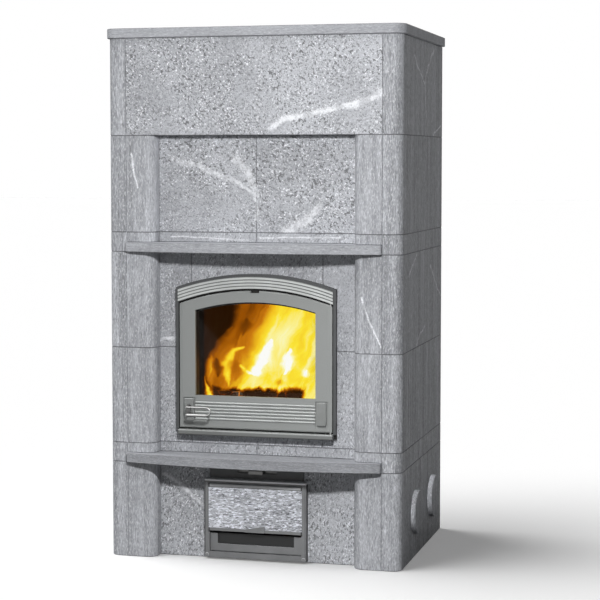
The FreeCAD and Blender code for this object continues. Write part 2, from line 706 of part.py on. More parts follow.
def shelf(name, low):
    """A shelf whose front edge is one long bow between the side slabs."""
    body = new_body(name)
    edge = f"({front} - Sizes.shelf_proud)"
    sketch = plan(body, "0", edge, low)
    reach = value(side_inner)
    bow = value("Sizes.shelf_bow")
    depth = f"{panel_back} - {edge}"
    radius = f"({side_inner}^2 + Sizes.shelf_bow^2) / (2 * Sizes.shelf_bow)"
    bend = value(radius)
    lift = math.asin(reach / bend)
    bowed = arc(sketch, (0, bend - bow), bend, -math.pi / 2 - lift, -math.pi / 2 + lift)
    right = segment(sketch, (reach, 0), (reach, value(depth)))
    rear = segment(sketch, (reach, value(depth)), (-reach, value(depth)))
    left = segment(sketch, (-reach, value(depth)), (-reach, 0))
    ring = (bowed, right, rear, left)
    for index, item in enumerate(ring):
        sketch.addConstraint(Constraint("Coincident", item, 2, ring[(index + 1) % 4], 1))
    sketch.addConstraint(Constraint("Vertical", right))
    sketch.addConstraint(Constraint("Horizontal", rear))
    sketch.addConstraint(Constraint("Vertical", left))
    sketch.addConstraint(Constraint("PointOnObject", right, 1, -1))
    bind(sketch, Constraint("Radius", bowed, bend), radius)
    place_point(sketch, rear, 1, side_inner, depth)
    place_point(sketch, left, 1, f"-{side_inner}", None)
    sketch.addConstraint(Constraint("PointOnObject", left, 2, -1))
    plate = pad(body, sketch, "Sizes.shelf_thickness")
    rounded = body.newObject("PartDesign::Fillet", "rounded")
    rounded.Base = (plate, upright_edges(plate, value(front)))
    rounded.setExpression("Radius", "Sizes.shelf_corner")
    ease(body, rounded, (FORWARDS,))
    node(body, name)


def top_slab():
    """The slab on top, overhanging at front and sides and flush at the back."""
    body = new_body("top_slab")
    reach = f"({half_width} + Sizes.top_slab_overhang)"
    sketch = plan(body, f"-{reach}", f"{front} - Sizes.top_slab_overhang", crown_top)
    rounding = "Sizes.corner_radius + Sizes.top_slab_overhang"
    depth = "Sizes.body_depth + Sizes.top_slab_overhang"
    rectangle(sketch, f"2 * {reach}", depth, ((0, rounding), (1, rounding)))
    ease(body, pad(body, sketch, "Sizes.top_slab_thickness"), (FORWARDS, RIGHT, -RIGHT, BACKWARDS))
    node(body, "top_slab")


def base_slab():
    """The stone that closes the core at the ground, with a tongue between the base panels."""
    body = new_body("base_slab")
    sketch = plan(body, "0", panel_front, "0")
    step = f"({panel_back} - {panel_front})"
    depth = f"({back_inner} - {panel_front})"
    corners = ((ash_half, "0"), (ash_half, step), (side_inner, step), (side_inner, depth))
    right = list(corners)
    left = [(f"-{x}", y) for x, y in reversed(corners)]
    polygon(sketch, right + left)
    pad(body, sketch, "Sizes.base_slab_thickness")
    node(body, "base_slab")


def ash_chamber():
    """Walls of the ash chamber, which also carry the firebox floor."""
    half = "(Sizes.ash_chamber_width / 2)"
    outer = f"({half} + Sizes.core_wall)"
    level = ("Sizes.base_slab_thickness", core_floor)
    wall = block("ash_wall_right", (half, outer), (panel_back, core_back), level)
    depth = (ash_back, f"({ash_back} + Sizes.core_wall)")
    rear = block("ash_wall_back", (f"-{half}", half), depth, level)
    group("ash_chamber_walls", [wall, mirrored(wall, "ash_wall_left"), rear])


def grate_place():
    """Low corner of the grate's hole in the firebox floor."""
    return "(-Sizes.grate_width / 2)", f"(({panel_back} + {firebox_back} - Sizes.grate_depth) / 2)"


def firebox():
    """Floor, walls and roof of the firebox, and the walls of the chamber above it."""
    body = new_body("firebox_floor")
    sketch = plan(body, f"-{core_half}", panel_back, core_floor)
    rectangle(sketch, f"2 * {core_half}", f"{core_back} - {panel_back}")
    pad(body, sketch, "Sizes.core_wall")
    x, y = grate_place()
    seat = plan(body, f"{x} - Sizes.fitting_gap", f"{y} - Sizes.fitting_gap", firebox_floor)
    play = "2 * Sizes.fitting_gap"
    rectangle(seat, f"Sizes.grate_width + {play}", f"Sizes.grate_depth + {play}")
    pocket(body, seat, "Sizes.grate_thickness")
    hole = plan(body, f"{x} + Sizes.grate_ledge", f"{y} + Sizes.grate_ledge", firebox_floor)
    ledges = "2 * Sizes.grate_ledge"
    rectangle(hole, f"Sizes.grate_width - {ledges}", f"Sizes.grate_depth - {ledges}")
    pocket(body, hole, "Sizes.core_wall")
    node(body, "firebox_floor")
    level = (firebox_floor, door_top)
    wall = block("firebox_wall_right", (firebox_half, core_half), (panel_back, firebox_back), level)
    pair("firebox_side_walls", wall)
    across = (f"-{core_half}", core_half)
    node(block("firebox_wall_back", across, (firebox_back, core_back), level), "firebox_back_wall")
    depth = (panel_back, f"({firebox_back} - Sizes.throat_depth)")
    node(block("firebox_lid", across, depth, (door_top, roof_top)), "firebox_roof")
    level = (roof_top, chamber_top)
    pair("chamber_walls", block("chamber_wall_right", (firebox_half, core_half), depth, level))


def grate():
    """The cast grate with its row of slots, resting on a ledge in the floor."""
    body = new_body("grate")
    x, y = grate_place()
    sketch = plan(body, x, y, f"{firebox_floor} - Sizes.grate_thickness")
    rectangle(sketch, "Sizes.grate_width", "Sizes.grate_depth")
    pad(body, sketch, "Sizes.grate_thickness")
    pitch = "(Sizes.grate_bar + Sizes.grate_slot)"
    rim = "(Sizes.grate_ledge + Sizes.grate_bar)"
    count = f"floor((Sizes.grate_width - 2 * {rim} + Sizes.grate_bar) / {pitch})"
    start = f"(-({count} * {pitch} - Sizes.grate_bar) / 2)"
    slot = plan(body, start, f"{y} + {rim}", firebox_floor)
    rounding = tuple((corner, "Sizes.grate_slot / 2.2") for corner in range(4))
    rectangle(slot, "Sizes.grate_slot", f"Sizes.grate_depth - 2 * {rim}", rounding)
    cut = pocket(body, slot, "Sizes.grate_thickness")
    doc.recompute()
    repeat(body, cut, "X_Axis", count, f"({count} - 1) * {pitch}")
    node(body, "grate")


def flue_collar():
    """The collar in the back slab that takes the flue pipe."""
    body = new_body("flue_collar")
    outer = "(Sizes.flue_radius + Sizes.flue_wall)"
    sketch = elevation(body, "0", "Sizes.flue_height", back)
    circle(sketch, "0", "0", outer)
    circle(sketch, "0", "0", "Sizes.flue_radius")
    pad(body, sketch, "Sizes.back_thickness")
    rim = elevation(body, "0", "Sizes.flue_height", f"{back} + Sizes.flue_flange_thickness")
    circle(rim, "0", "0", f"{outer} + Sizes.flue_flange")
    circle(rim, "0", "0", "Sizes.flue_radius")
    pad(body, rim, "Sizes.flue_flange_thickness")
    node(body, "flue_collar")


def door_frame():
    """The cast frame: a plate on the stone, a sealing flange, a throat through the stone and a rim."""
    body = new_body("door_frame")
    level = arch_centre
    steps = (
        (panel_front, "Sizes.web_thickness", throat_half, throat_low, throat_radius),
        (web_front, "Sizes.flange_thickness", flange_half, flange_low, flange_radius),
    )
    for y, thickness, half, low, radius in steps:
        sketch = elevation(body, "0", level, y)
        arched(sketch, rim_half, f"{frame_low} - {level}", rim_radius)
        arched(sketch, half, f"{low} - {level}", radius)
        pad(body, sketch, thickness)
    sketch = elevation(body, "0", level, panel_back)
    arched(sketch, throat_outer, f"{throat_outer_low} - {level}", throat_outer_radius)
    arched(sketch, throat_half, f"{throat_low} - {level}", throat_radius)
    pad(body, sketch, "Sizes.panel_thickness")
    rim = elevation(body, "0", level, flange_front)
    arched(rim, rim_half, f"{sill_top} - {level}", rim_radius)
    pad(body, rim, "Sizes.frame_rim")
    hollow = elevation(body, "0", level, f"{flange_front} - Sizes.frame_rim")
    arched(hollow, door_half, f"{frame_low} - {level}", hood_radius)
    pocket(body, hollow, "Sizes.frame_rim")
    node(body, "door_frame")


def frame_hood():
    """The arched band over the door with its ribs, bored for the upper hinge pin."""
    body = new_body("frame_hood")
    sketch = elevation(body, "0", arch_centre, flange_front)
    arch_band(sketch, door_half, "Sizes.arch_radius", hood_radius)
    pad(body, sketch, "Sizes.hood_depth")
    ribs = elevation(body, "0", arch_centre, f"{flange_front} - Sizes.hood_depth")
    pitch = "(Sizes.hood_band / Sizes.hood_rib_count)"
    for number in range(int(value("Sizes.hood_rib_count"))):
        low = f"(Sizes.arch_radius + {number} * {pitch} + Sizes.hood_rib_groove / 2)"
        high = f"(Sizes.arch_radius + {number + 1} * {pitch} - Sizes.hood_rib_groove / 2)"
        arch_band(ribs, door_half, low, high)
    pad(body, ribs, "Sizes.hood_rib_height")
    bore_top = f"{leaf_corner} + Sizes.hood_gap + Sizes.hinge_pin_depth + Sizes.sliding_gap"
    bore = plan(body, hinge_x, hinge_y, bore_top)
    circle(bore, "0", "0", "Sizes.hinge_pin_radius + Sizes.running_gap")
    pocket(body, bore, "2 * Sizes.hinge_pin_depth")
    node(body, "frame_hood")


def frame_sill():
    """The bar below the leaf, bored for the lower hinge pin."""
    body = new_body("frame_sill")
    sketch = plan(body, f"-{door_half}", f"{flange_front} - Sizes.sill_depth", frame_low)
    rectangle(sketch, "Sizes.door_width", "Sizes.sill_depth")
    bar = pad(body, sketch, "Sizes.sill_height")
    ease(body, bar, (FORWARDS,), "Sizes.arris", "Fillet")
    bore = plan(body, hinge_x, hinge_y, sill_top)
    circle(bore, "0", "0", "Sizes.hinge_pin_radius + Sizes.running_gap")
    pocket(body, bore, "Sizes.hinge_pin_depth + Sizes.sliding_gap")
    node(body, "frame_sill")


def frame_seal():
    """The rope seal on the frame's flange, just outside its opening."""
    body = new_body("frame_seal")
    sketch = elevation(body, "0", arch_centre, flange_front)
    inner = "Sizes.fitting_gap"
    outer = "(Sizes.fitting_gap + Sizes.seal_width)"
    for reach in (inner, outer):
        low = f"({flange_low} - {reach} - {arch_centre})"
        arched(sketch, f"({flange_half} + {reach})", low, f"({flange_radius} + {reach})")
    pad(body, sketch, "Sizes.seal_thickness")
    node(body, "frame_seal")


def door_leaf():
    """The cast leaf with its arched window, ribbed lower panel and bores for pins and spindle."""
    body = new_body("door_leaf")
    sketch = elevation(body, "0", arch_centre, leaf_back)
    arched(sketch, leaf_half, f"{leaf_low} - {arch_centre}", leaf_radius)
    plate = pad(body, sketch, "Sizes.leaf_thickness")
    ease(body, plate, (FORWARDS,), "Sizes.leaf_bevel")
    window = elevation(body, "0", arch_centre, leaf_back)
    arched(window, window_half, f"{window_low} - {arch_centre}", window_radius)
    pocket(body, window, "Sizes.leaf_thickness", True)
    rib_end = f"({plate_x} - Sizes.plate_width / 2 - Sizes.plate_groove)"
    profile = section(body, leaf_front, f"{leaf_low} + Sizes.rib_first", f"-{rib_end}")
    half = value("Sizes.rib_width / 2")
    rise = value("Sizes.rib_height")
    radius = "(Sizes.rib_width^2 / 4 + Sizes.rib_height^2) / (2 * Sizes.rib_height)"
    bend = value(radius)
    lift = math.asin(half / bend)
    curve = arc(profile, (bend - rise, 0), bend, math.pi - lift, math.pi + lift)
    root = segment(profile, (0, -half), (0, half))
    profile.addConstraint(Constraint("Coincident", curve, 2, root, 1))
    profile.addConstraint(Constraint("Coincident", root, 2, curve, 1))
    profile.addConstraint(Constraint("Vertical", root))
    profile.addConstraint(Constraint("Symmetric", root, 1, root, 2, -1, 1))
    bind(profile, Constraint("Distance", root, 2 * half), "Sizes.rib_width")
    bind(profile, Constraint("Radius", curve, bend), radius)
    rib = pad(body, profile, f"2 * {rib_end}")
    doc.recompute()
    repeat(body, rib, "Z_Axis", "Sizes.rib_count", "(Sizes.rib_count - 1) * Sizes.rib_pitch")
    notch_low = f"{arch_centre} + {leaf_radius} - Sizes.notch_depth"
    notch = elevation(body, "-Sizes.notch_width / 2", notch_low, leaf_back)
    rectangle(notch, "Sizes.notch_width", "2 * Sizes.notch_depth")
    pocket(body, notch, "Sizes.leaf_thickness", True)
    wide = "(Sizes.plate_width + 2 * Sizes.plate_groove)"
    high = "(Sizes.plate_height + Sizes.plate_groove_top + Sizes.plate_groove_low)"
    seat_low = f"({plate_z} - Sizes.plate_height / 2 - Sizes.plate_groove_low)"
    rounds = ((0, "Sizes.plate_groove_corner"), (1, "Sizes.plate_groove_corner"))
    for centre in (f"-{plate_x}", plate_x):
        seat = elevation(body, f"{centre} - {wide} / 2", seat_low, leaf_front)
        rectangle(seat, wide, high, rounds)
        pocket(body, seat, "Sizes.plate_sink")
    for side in (1, -1):
        edge = plan(body, f"{side} * {leaf_half}", leaf_front, leaf_low)
        inward = f"{-side} * Sizes.leaf_side_bevel"
        polygon(edge, ((inward, "0"), ("0", "0"), ("0", "Sizes.leaf_side_drop")))
        pocket(body, edge, f"{arch_centre} + {leaf_radius} - {leaf_low}", True)
    low_bore = plan(body, hinge_x, hinge_y, leaf_low)
    circle(low_bore, "0", "0", "Sizes.hinge_pin_radius + Sizes.seat_gap")
    pocket(body, low_bore, "Sizes.hinge_pin_depth", True)
    high_bore = plan(body, hinge_x, hinge_y, f"{leaf_corner} + Sizes.hinge_pin_depth")
    circle(high_bore, "0", "0", "Sizes.hinge_pin_radius + Sizes.seat_gap")
    pocket(body, high_bore, "2 * Sizes.hinge_pin_depth")
    spindle_bore = elevation(body, f"-{plate_x}", plate_z, leaf_back)
    circle(spindle_bore, "0", "0", "Sizes.spindle_radius + Sizes.running_gap")
    pocket(body, spindle_bore, "Sizes.leaf_thickness", True)
    node(body, "door_leaf")


def door_glass():
    """The arched pane behind the leaf."""
    body = new_body("door_glass")
    sketch = elevation(body, "0", arch_centre, glass_back)
    arched(sketch, glass_half, f"{glass_low} - {arch_centre}", glass_radius)
    pad(body, sketch, "Sizes.glass_thickness")
    node(body, "door_glass")


def glass_seal():
    """The flat seal between pane and leaf."""
    body = new_body("glass_seal")
    sketch = elevation(body, "0", arch_centre, glass_front)
    arched(sketch, glass_half, f"{glass_low} - {arch_centre}", glass_radius)
    arched(sketch, window_half, f"{window_low} - {arch_centre}", window_radius)
    pad(body, sketch, "Sizes.glass_seal_thickness")
    node(body, "glass_seal")


def glass_clips():
    """Four bent clips that hold the pane to the back of the leaf."""
    clips = []
    for word, height in (("low", "Sizes.clip_low"), ("high", "Sizes.clip_high")):
        body = new_body(f"clip_{word}")
        sketch = plan(body, glass_half, leaf_back, f"{window_low} + {height}")
        drop = "(Sizes.glass_seal_thickness + Sizes.glass_thickness)"
        deep = f"({drop} + Sizes.clip_plate)"
        foot = "(Sizes.fitting_gap + Sizes.clip_foot)"
        points = (
            ("Sizes.fitting_gap", "0"),
            (foot, "0"),
            (foot, "Sizes.clip_plate"),
            ("Sizes.fitting_gap + Sizes.clip_plate", "Sizes.clip_plate"),
            ("Sizes.fitting_gap + Sizes.clip_plate", deep),
            ("-Sizes.clip_lip", deep),
            ("-Sizes.clip_lip", drop),
            ("Sizes.fitting_gap", drop),
        )
        polygon(sketch, points)
        pad(body, sketch, "Sizes.clip_length")
        clips.extend((body, mirrored(body, f"clip_{word}_left")))
    group("glass_clips", clips)


def pin(name, radius, length, x, y, z, way):
    """A plain round pin along one way from a place."""
    rod = doc.addObject("Part::Cylinder", name)
    rod.setExpression("Radius", radius)
    rod.setExpression("Height", length)
    rod.Placement.Rotation = FreeCAD.Rotation(UP, way)
    for letter, place in (("x", x), ("y", y), ("z", z)):
        rod.setExpression(f"Placement.Base.{letter}", place)
    return rod


def hinge_pins():
    """Two pins fixed in the leaf, turning in sill and hood."""
    pins = []
    for word, low, gap in (("low", sill_top, "Sizes.leaf_gap"), ("high", leaf_corner, "Sizes.hood_gap")):
        length = f"2 * Sizes.hinge_pin_depth + {gap}"
        start = f"{low} - Sizes.hinge_pin_depth"
        pins.append(pin(f"hinge_pin_{word}", "Sizes.hinge_pin_radius", length, hinge_x, hinge_y, start, UP))
    group("hinge_pins", pins)


def handle_plates():
    """The handle's plate on the left of the leaf and the blank one on the right."""
    rounds = tuple((corner, "Sizes.plate_corner") for corner in range(4))
    plates = []
    thickness = "(Sizes.plate_thickness + Sizes.plate_sink)"
    for word, centre in (("left", f"-{plate_x}"), ("right", plate_x)):
        body = new_body(f"plate_{word}")
        x = f"{centre} - Sizes.plate_width / 2"
        sketch = elevation(body, x, f"{plate_z} - Sizes.plate_height / 2", plate_back)
        rectangle(sketch, "Sizes.plate_width", "Sizes.plate_height", rounds)
        ease(body, pad(body, sketch, thickness), (FORWARDS,))
        if word == "left":
            bore = elevation(body, centre, plate_z, plate_back)
            circle(bore, "0", "0", "Sizes.spindle_radius + Sizes.sliding_gap")
            pocket(body, bore, thickness, True)
        plates.append(body)
    group("handle_plates", plates)


def door_handle():
    """A bent rod whose two prongs spring from a hub, the lower one with a grip; no plane holds the rod."""
    x = -value(plate_x)
    z = value(plate_z)
    root = value(hub_front)
    grip = value(plate_front) - value("Sizes.handle_standoff")
    bend = value("Sizes.handle_bend")
    spread = value("Sizes.handle_spread")
    far = x + value("Sizes.handle_reach")
    slant = bend * (1 - math.sqrt(0.5))

    def prong(height):
        """Points of one prong, from the hub to the start of the round end."""
        start = Vector(x, root + value("Sizes.hub_thickness") / 2, height)
        leg = Vector(x, grip + bend, height)
        knee = Vector(x + slant, grip + slant, height)
        level = Vector(x + bend, grip, height)
        return start, leg, knee, level, Vector(far, grip, height)

    upper = prong(z + spread)
    lower = prong(z - spread)
    end = Vector(far + spread, grip, z)
    edges = [
        Part.makeLine(upper[0], upper[1]),
        Part.Arc(upper[1], upper[2], upper[3]).toShape(),
        Part.makeLine(upper[3], upper[4]),
        Part.Arc(upper[4], end, lower[4]).toShape(),
        Part.makeLine(lower[4], lower[3]),
        Part.Arc(lower[3], lower[2], lower[1]).toShape(),
        Part.makeLine(lower[1], lower[0]),
    ]
    ring = Part.makeCircle(value("Sizes.handle_rod"), upper[0], FORWARDS)
    rod = Part.Wire(edges).makePipeShell([Part.Wire(ring)], True, False)
    thickness = value("Sizes.hub_thickness")
    rounding = value("Sizes.hub_radius")
    hub = Part.makeBox(2 * rounding, thickness, 2 * spread, Vector(x - rounding, root, z - spread))
    ends = []
    for height in (z - spread, z + spread):
        ends.append(Part.makeCylinder(rounding, thickness, Vector(x, root, height), BACKWARDS))
    grip_length = far - lower[3].x
    sleeve = Part.makeCylinder(value("Sizes.handle_grip"), grip_length, lower[3], RIGHT)
    handle = doc.addObject("Part::Feature", "door_handle")
    handle.Shape = hub.fuse(ends + [rod, sleeve]).removeSplitter()
    node(handle, "door_handle")


def latch_spindle():
    """The spindle through the leaf with the latch tongue on its inner end."""
    body = new_body("latch_spindle")
    tongue_front = f"({leaf_back} + Sizes.tongue_gap)"
    shaft = elevation(body, f"-{plate_x}", plate_z, tongue_front)
    circle(shaft, "0", "0", "Sizes.spindle_radius")
    pad(body, shaft, f"{tongue_front} - {hub_back}")
    tongue = elevation(body, f"-{plate_x} - Sizes.tongue_length", f"{plate_z} - Sizes.spindle_radius",
                       f"{tongue_front} + Sizes.tongue_thickness")
    rounds = tuple((corner, "Sizes.arris") for corner in range(4))
    rectangle(tongue, "Sizes.tongue_length + Sizes.spindle_radius", "2 * Sizes.spindle_radius", rounds)
    pad(body, tongue, "Sizes.tongue_thickness")
    node(body, "latch_spindle")


def ash_frame():
    """The iron frame of the ash door, with a narrower opening for the drawer below the flap's."""
    body = new_body("ash_frame")
    sketch = elevation(body, f"-{ash_outer}", "Sizes.ash_frame_raise", panel_front)
    rectangle(sketch, f"2 * {ash_outer}", f"{ash_frame_top} - Sizes.ash_frame_raise")
    ease(body, pad(body, sketch, "Sizes.ash_frame_depth"), (FORWARDS,), "Sizes.arris")
    rail = "(Sizes.ash_frame_raise + Sizes.ash_bottom_rail)"
    ledge = f"({flap_low} - Sizes.drawer_flap_gap / 2)"
    narrow = f"({ash_half} - Sizes.ash_ledge)"
    top = f"({ash_frame_top} - Sizes.ash_top_rail)"
    for half, low, high in ((narrow, rail, ledge), (ash_half, ledge, top)):
        opening = elevation(body, f"-{half}", low, panel_front)
        rectangle(opening, f"2 * {half}", f"{high} - {low}")
        pocket(body, opening, "Sizes.ash_frame_depth", True)
    for side, forwards in ((ash_half, True), (f"-{ash_half}", False)):
        bore = section(body, flap_axis_y, flap_axis_z, side)
        circle(bore, "0", "0", "Sizes.flap_pin_radius + Sizes.running_gap")
        pocket(body, bore, "Sizes.flap_pin_depth + Sizes.sliding_gap", forwards)
    for side in (1, -1):
        x = f"{side} * ({ash_outer} - Sizes.bolt_inset)"
        hole = elevation(body, x, "Sizes.ash_frame_raise + Sizes.bolt_inset", panel_front)
        circle(hole, "0", "0", "Sizes.bolt_radius + Sizes.seat_gap")
        pocket(body, hole, "Sizes.ash_frame_depth", True)
    node(body, "ash_frame")


def ash_frame_bolts():
    """Two round-headed bolts at the foot of the ash frame."""
    body = new_body("ash_bolt_right")
    z = "Sizes.ash_frame_raise + Sizes.bolt_inset"
    x = f"{ash_outer} - Sizes.bolt_inset"
    shank = elevation(body, x, z, f"{ash_front} + Sizes.bolt_length")
    circle(shank, "0", "0", "Sizes.bolt_radius")
    pad(body, shank, "Sizes.bolt_length")
    head = elevation(body, x, z, ash_front)
    circle(head, "0", "0", "Sizes.bolt_head_radius")
    ease(body, pad(body, head, "Sizes.bolt_head_height"), (FORWARDS,))
    pair("ash_frame_bolts", body)


def ash_flap():
    """The top-hung flap: a grooved plate under a hinge barrel, with a pull tab at its foot."""
    body = new_body("ash_flap")
    profile = section(body, flap_axis_y, flap_axis_z, f"-{flap_half}")
    barrel = "Sizes.flap_barrel_radius"
    deep = "(Sizes.flap_stone_thickness - Sizes.flap_barrel_radius)"
    foot = f"({flap_low} - {flap_axis_z})"
    groove_low = f"({flap_stone_low} - {flap_axis_z})"
    groove_high = "(-Sizes.flap_top_strip)"
    points = (
        (f"-{barrel}", "0"),
        (f"-{barrel}", groove_high),
        (deep, groove_high),
        (deep, groove_low),
        (f"-{barrel}", groove_low),
        (f"-{barrel}", foot),
        (barrel, foot),
        (barrel, "0"),
    )
    spots = [(value(x), value(y)) for x, y in points]
    lines = [segment(profile, spots[index], spots[index + 1]) for index in range(len(spots) - 1)]
    cap = arc(profile, (0, 0), value(barrel), 0, math.pi)
    for line, follow in zip(lines, lines[1:]):
        profile.addConstraint(Constraint("Coincident", line, 2, follow, 1))
    for line, (x, y) in zip(lines[1:], points[1:]):
        place_point(profile, line, 1, x, y)
    profile.addConstraint(Constraint("Coincident", cap, 3, -1, 1))
    profile.addConstraint(Constraint("Vertical", lines[-1]))
    profile.addConstraint(Constraint("Tangent", lines[-1], 2, cap, 1))
    profile.addConstraint(Constraint("Tangent", cap, 2, lines[0], 1))
    pad(body, profile, f"2 * {flap_half}")
    tab = elevation(body, "-Sizes.tab_width / 2", flap_low, ash_front)
    polygon(tab, (("0", "0"), ("Sizes.tab_width", "0"), ("Sizes.tab_width", "Sizes.tab_rise"),
                  ("0", "Sizes.tab_start")))
    pad(body, tab, "Sizes.tab_thickness")
    hole = elevation(body, "Sizes.tab_width / 2", flap_low, ash_front)
    circle(hole, "-Sizes.tab_rise / 3", "Sizes.tab_rise / 2", "Sizes.tab_hole_radius")
    pocket(body, hole, "Sizes.tab_thickness", True)
    for side, forwards in ((flap_half, False), (f"-{flap_half}", True)):
        bore = section(body, flap_axis_y, flap_axis_z, side)
        circle(bore, "0", "0", "Sizes.flap_pin_radius + Sizes.seat_gap")
        pocket(body, bore, "Sizes.flap_pin_depth", forwards)
    node(body, "ash_flap")
    depth = (ash_front, flap_stone_back)
    stone = block("flap_stone", (f"-{flap_half}", flap_half), depth, (flap_stone_low, flap_stone_top))
    node(stone, "flap_stone")
    start = f"{flap_half} - Sizes.flap_pin_depth"
    length = "2 * Sizes.flap_pin_depth + Sizes.flap_gap"
    radius = "Sizes.flap_pin_radius"
    pair("flap_pins", pin("flap_pin_right", radius, length, start, flap_axis_y, flap_axis_z, RIGHT))


def ash_drawer():
    """The open tray of the ash drawer, and its cast front with a rim round a sunk field."""
    tray = new_body("ash_drawer")
    sketch = plan(tray, f"-{drawer_half}", tray_front, drawer_low)
    rectangle(sketch, f"2 * {drawer_half}", "Sizes.drawer_length - Sizes.drawer_front")
    pad(tray, sketch, "Sizes.drawer_height")
    half = f"({drawer_half} - Sizes.drawer_wall)"
    inside = plan(tray, f"-{half}", f"{tray_front} + Sizes.drawer_wall", drawer_top)
    rectangle(inside, f"2 * {half}", "Sizes.drawer_length - Sizes.drawer_front - 2 * Sizes.drawer_wall")
    pocket(tray, inside, "Sizes.drawer_height - Sizes.drawer_wall")
    node(tray, "ash_drawer")
    body = new_body("ash_drawer_front")
    face = elevation(body, f"-{drawer_half}", drawer_low, tray_front)
    rectangle(face, f"2 * {drawer_half}", "Sizes.drawer_height")
    pad(body, face, "Sizes.drawer_front")
    half = f"({drawer_half} - Sizes.drawer_rim)"
    field = elevation(body, f"-{half}", f"{drawer_low} + Sizes.drawer_rim_low", drawer_y)
    rectangle(field, f"2 * {half}", "Sizes.drawer_height - Sizes.drawer_rim_low")
    pocket(body, field, "Sizes.drawer_recess")
    node(body, "ash_drawer_front")


def air_slide():
    """The slotted guide plate above the ash frame and the slide that shuts its slot."""
    body = new_body("air_plate")
    wide = f"({ash_half} - Sizes.fitting_gap / 2)"
    low = f"({ash_frame_top} - Sizes.air_plate_lap)"
    sketch = elevation(body, f"-{wide}", low, air_plate_back)
    rectangle(sketch, f"2 * {wide}", f"{base_top} - {low}")
    pad(body, sketch, "Sizes.air_plate_thickness")
    reach = "(Sizes.air_tab_width / 2 + Sizes.air_travel + Sizes.fitting_gap)"
    slot = elevation(body, f"-{reach}", f"{air_tab_z} - Sizes.sliding_gap", air_plate_back)
    rectangle(slot, f"2 * {reach}", "Sizes.air_tab_height + 2 * Sizes.sliding_gap")
    pocket(body, slot, "Sizes.air_plate_thickness", True)
    node(body, "air_plate")
    slide = new_body("air_slide")
    middle = f"({air_tab_z} + (Sizes.air_tab_height - Sizes.air_shutter_height) / 2)"
    plate = elevation(slide, "-Sizes.air_shutter_width / 2", middle,
                      f"{shutter_front} + Sizes.air_shutter_thickness")
    rectangle(plate, "Sizes.air_shutter_width", "Sizes.air_shutter_height")
    pad(slide, plate, "Sizes.air_shutter_thickness")
    tab = plan(slide, "-Sizes.air_tab_width / 2", f"{panel_front} - Sizes.air_tab_reach", air_tab_z)
    rounds = ((0, "Sizes.air_grip"), (1, "Sizes.air_grip"))
    depth = f"{shutter_front} - {panel_front} + Sizes.air_tab_reach"
    rectangle(tab, "Sizes.air_tab_width", depth, rounds)
    pad(slide, tab, "Sizes.air_tab_height")
    node(slide, "air_slide")


def soot_plugs():
    """Four round plugs that close the soot hatches, two to each side."""
    for word, distance in soot_places():
        body = new_body(f"soot_plug_right_{word}")
        sketch = plan(body, half_width, f"{front} + {distance}", "Sizes.soot_height")
        inner = "(Sizes.soot_hole_radius - Sizes.sliding_gap)"
        points = (
            ("-Sizes.soot_plug_length", "0"),
            ("Sizes.soot_disc_thickness", "0"),
            ("Sizes.soot_disc_thickness", "Sizes.soot_disc_radius - Sizes.soot_disc_round"),
            ("Sizes.soot_disc_thickness - Sizes.soot_disc_round", "Sizes.soot_disc_radius"),
            ("0", "Sizes.soot_disc_radius"),
            ("0", inner),
            ("-Sizes.soot_plug_length", inner),
        )
        polygon(sketch, points)
        turn(body, sketch, "H_Axis")
        node(body, f"soot_plug_right_{word}")
        left = f"soot_plug_left_{word}"
        node(mirrored(body, left), left)


def check_and_write():
    """Stops on any faulty object, then writes one file for each piece."""
    doc.recompute()
    for item in doc.Objects:
        if "Invalid" in item.State or "Error" in item.State:
            raise RuntimeError(f"{item.Label}: {item.State}")
    for item in nodes:
        if item.Shape.isNull() or not item.Shape.isValid() or not item.Shape.Solids:
            raise RuntimeError(f"{item.Label} has no sound solid")
    for item in nodes:
        item.Shape.exportStep(f"parts/{item.Label}.step")


top_slab()
side_slabs()
back_slabs()
pilasters()
front_panels()
lintel_stone()
shelf("mantel_shelf", door_top)
shelf("hearth_shelf", base_top)
base_slab()
ash_chamber()
firebox()
grate()
flue_collar()
door_frame()
frame_hood()
frame_sill()
frame_seal()
door_leaf()
door_glass()
glass_seal()
glass_clips()
hinge_pins()
handle_plates()
door_handle()
latch_spindle()
ash_frame()
ash_frame_bolts()
ash_flap()
ash_drawer()
air_slide()
soot_plugs()
check_and_write()
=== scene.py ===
"""Finishes the soapstone baking oven: its stones, irons, glass, seals and fire, and the stage round it."""

import json
import math

import bmesh
import bpy
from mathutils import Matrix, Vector, noise

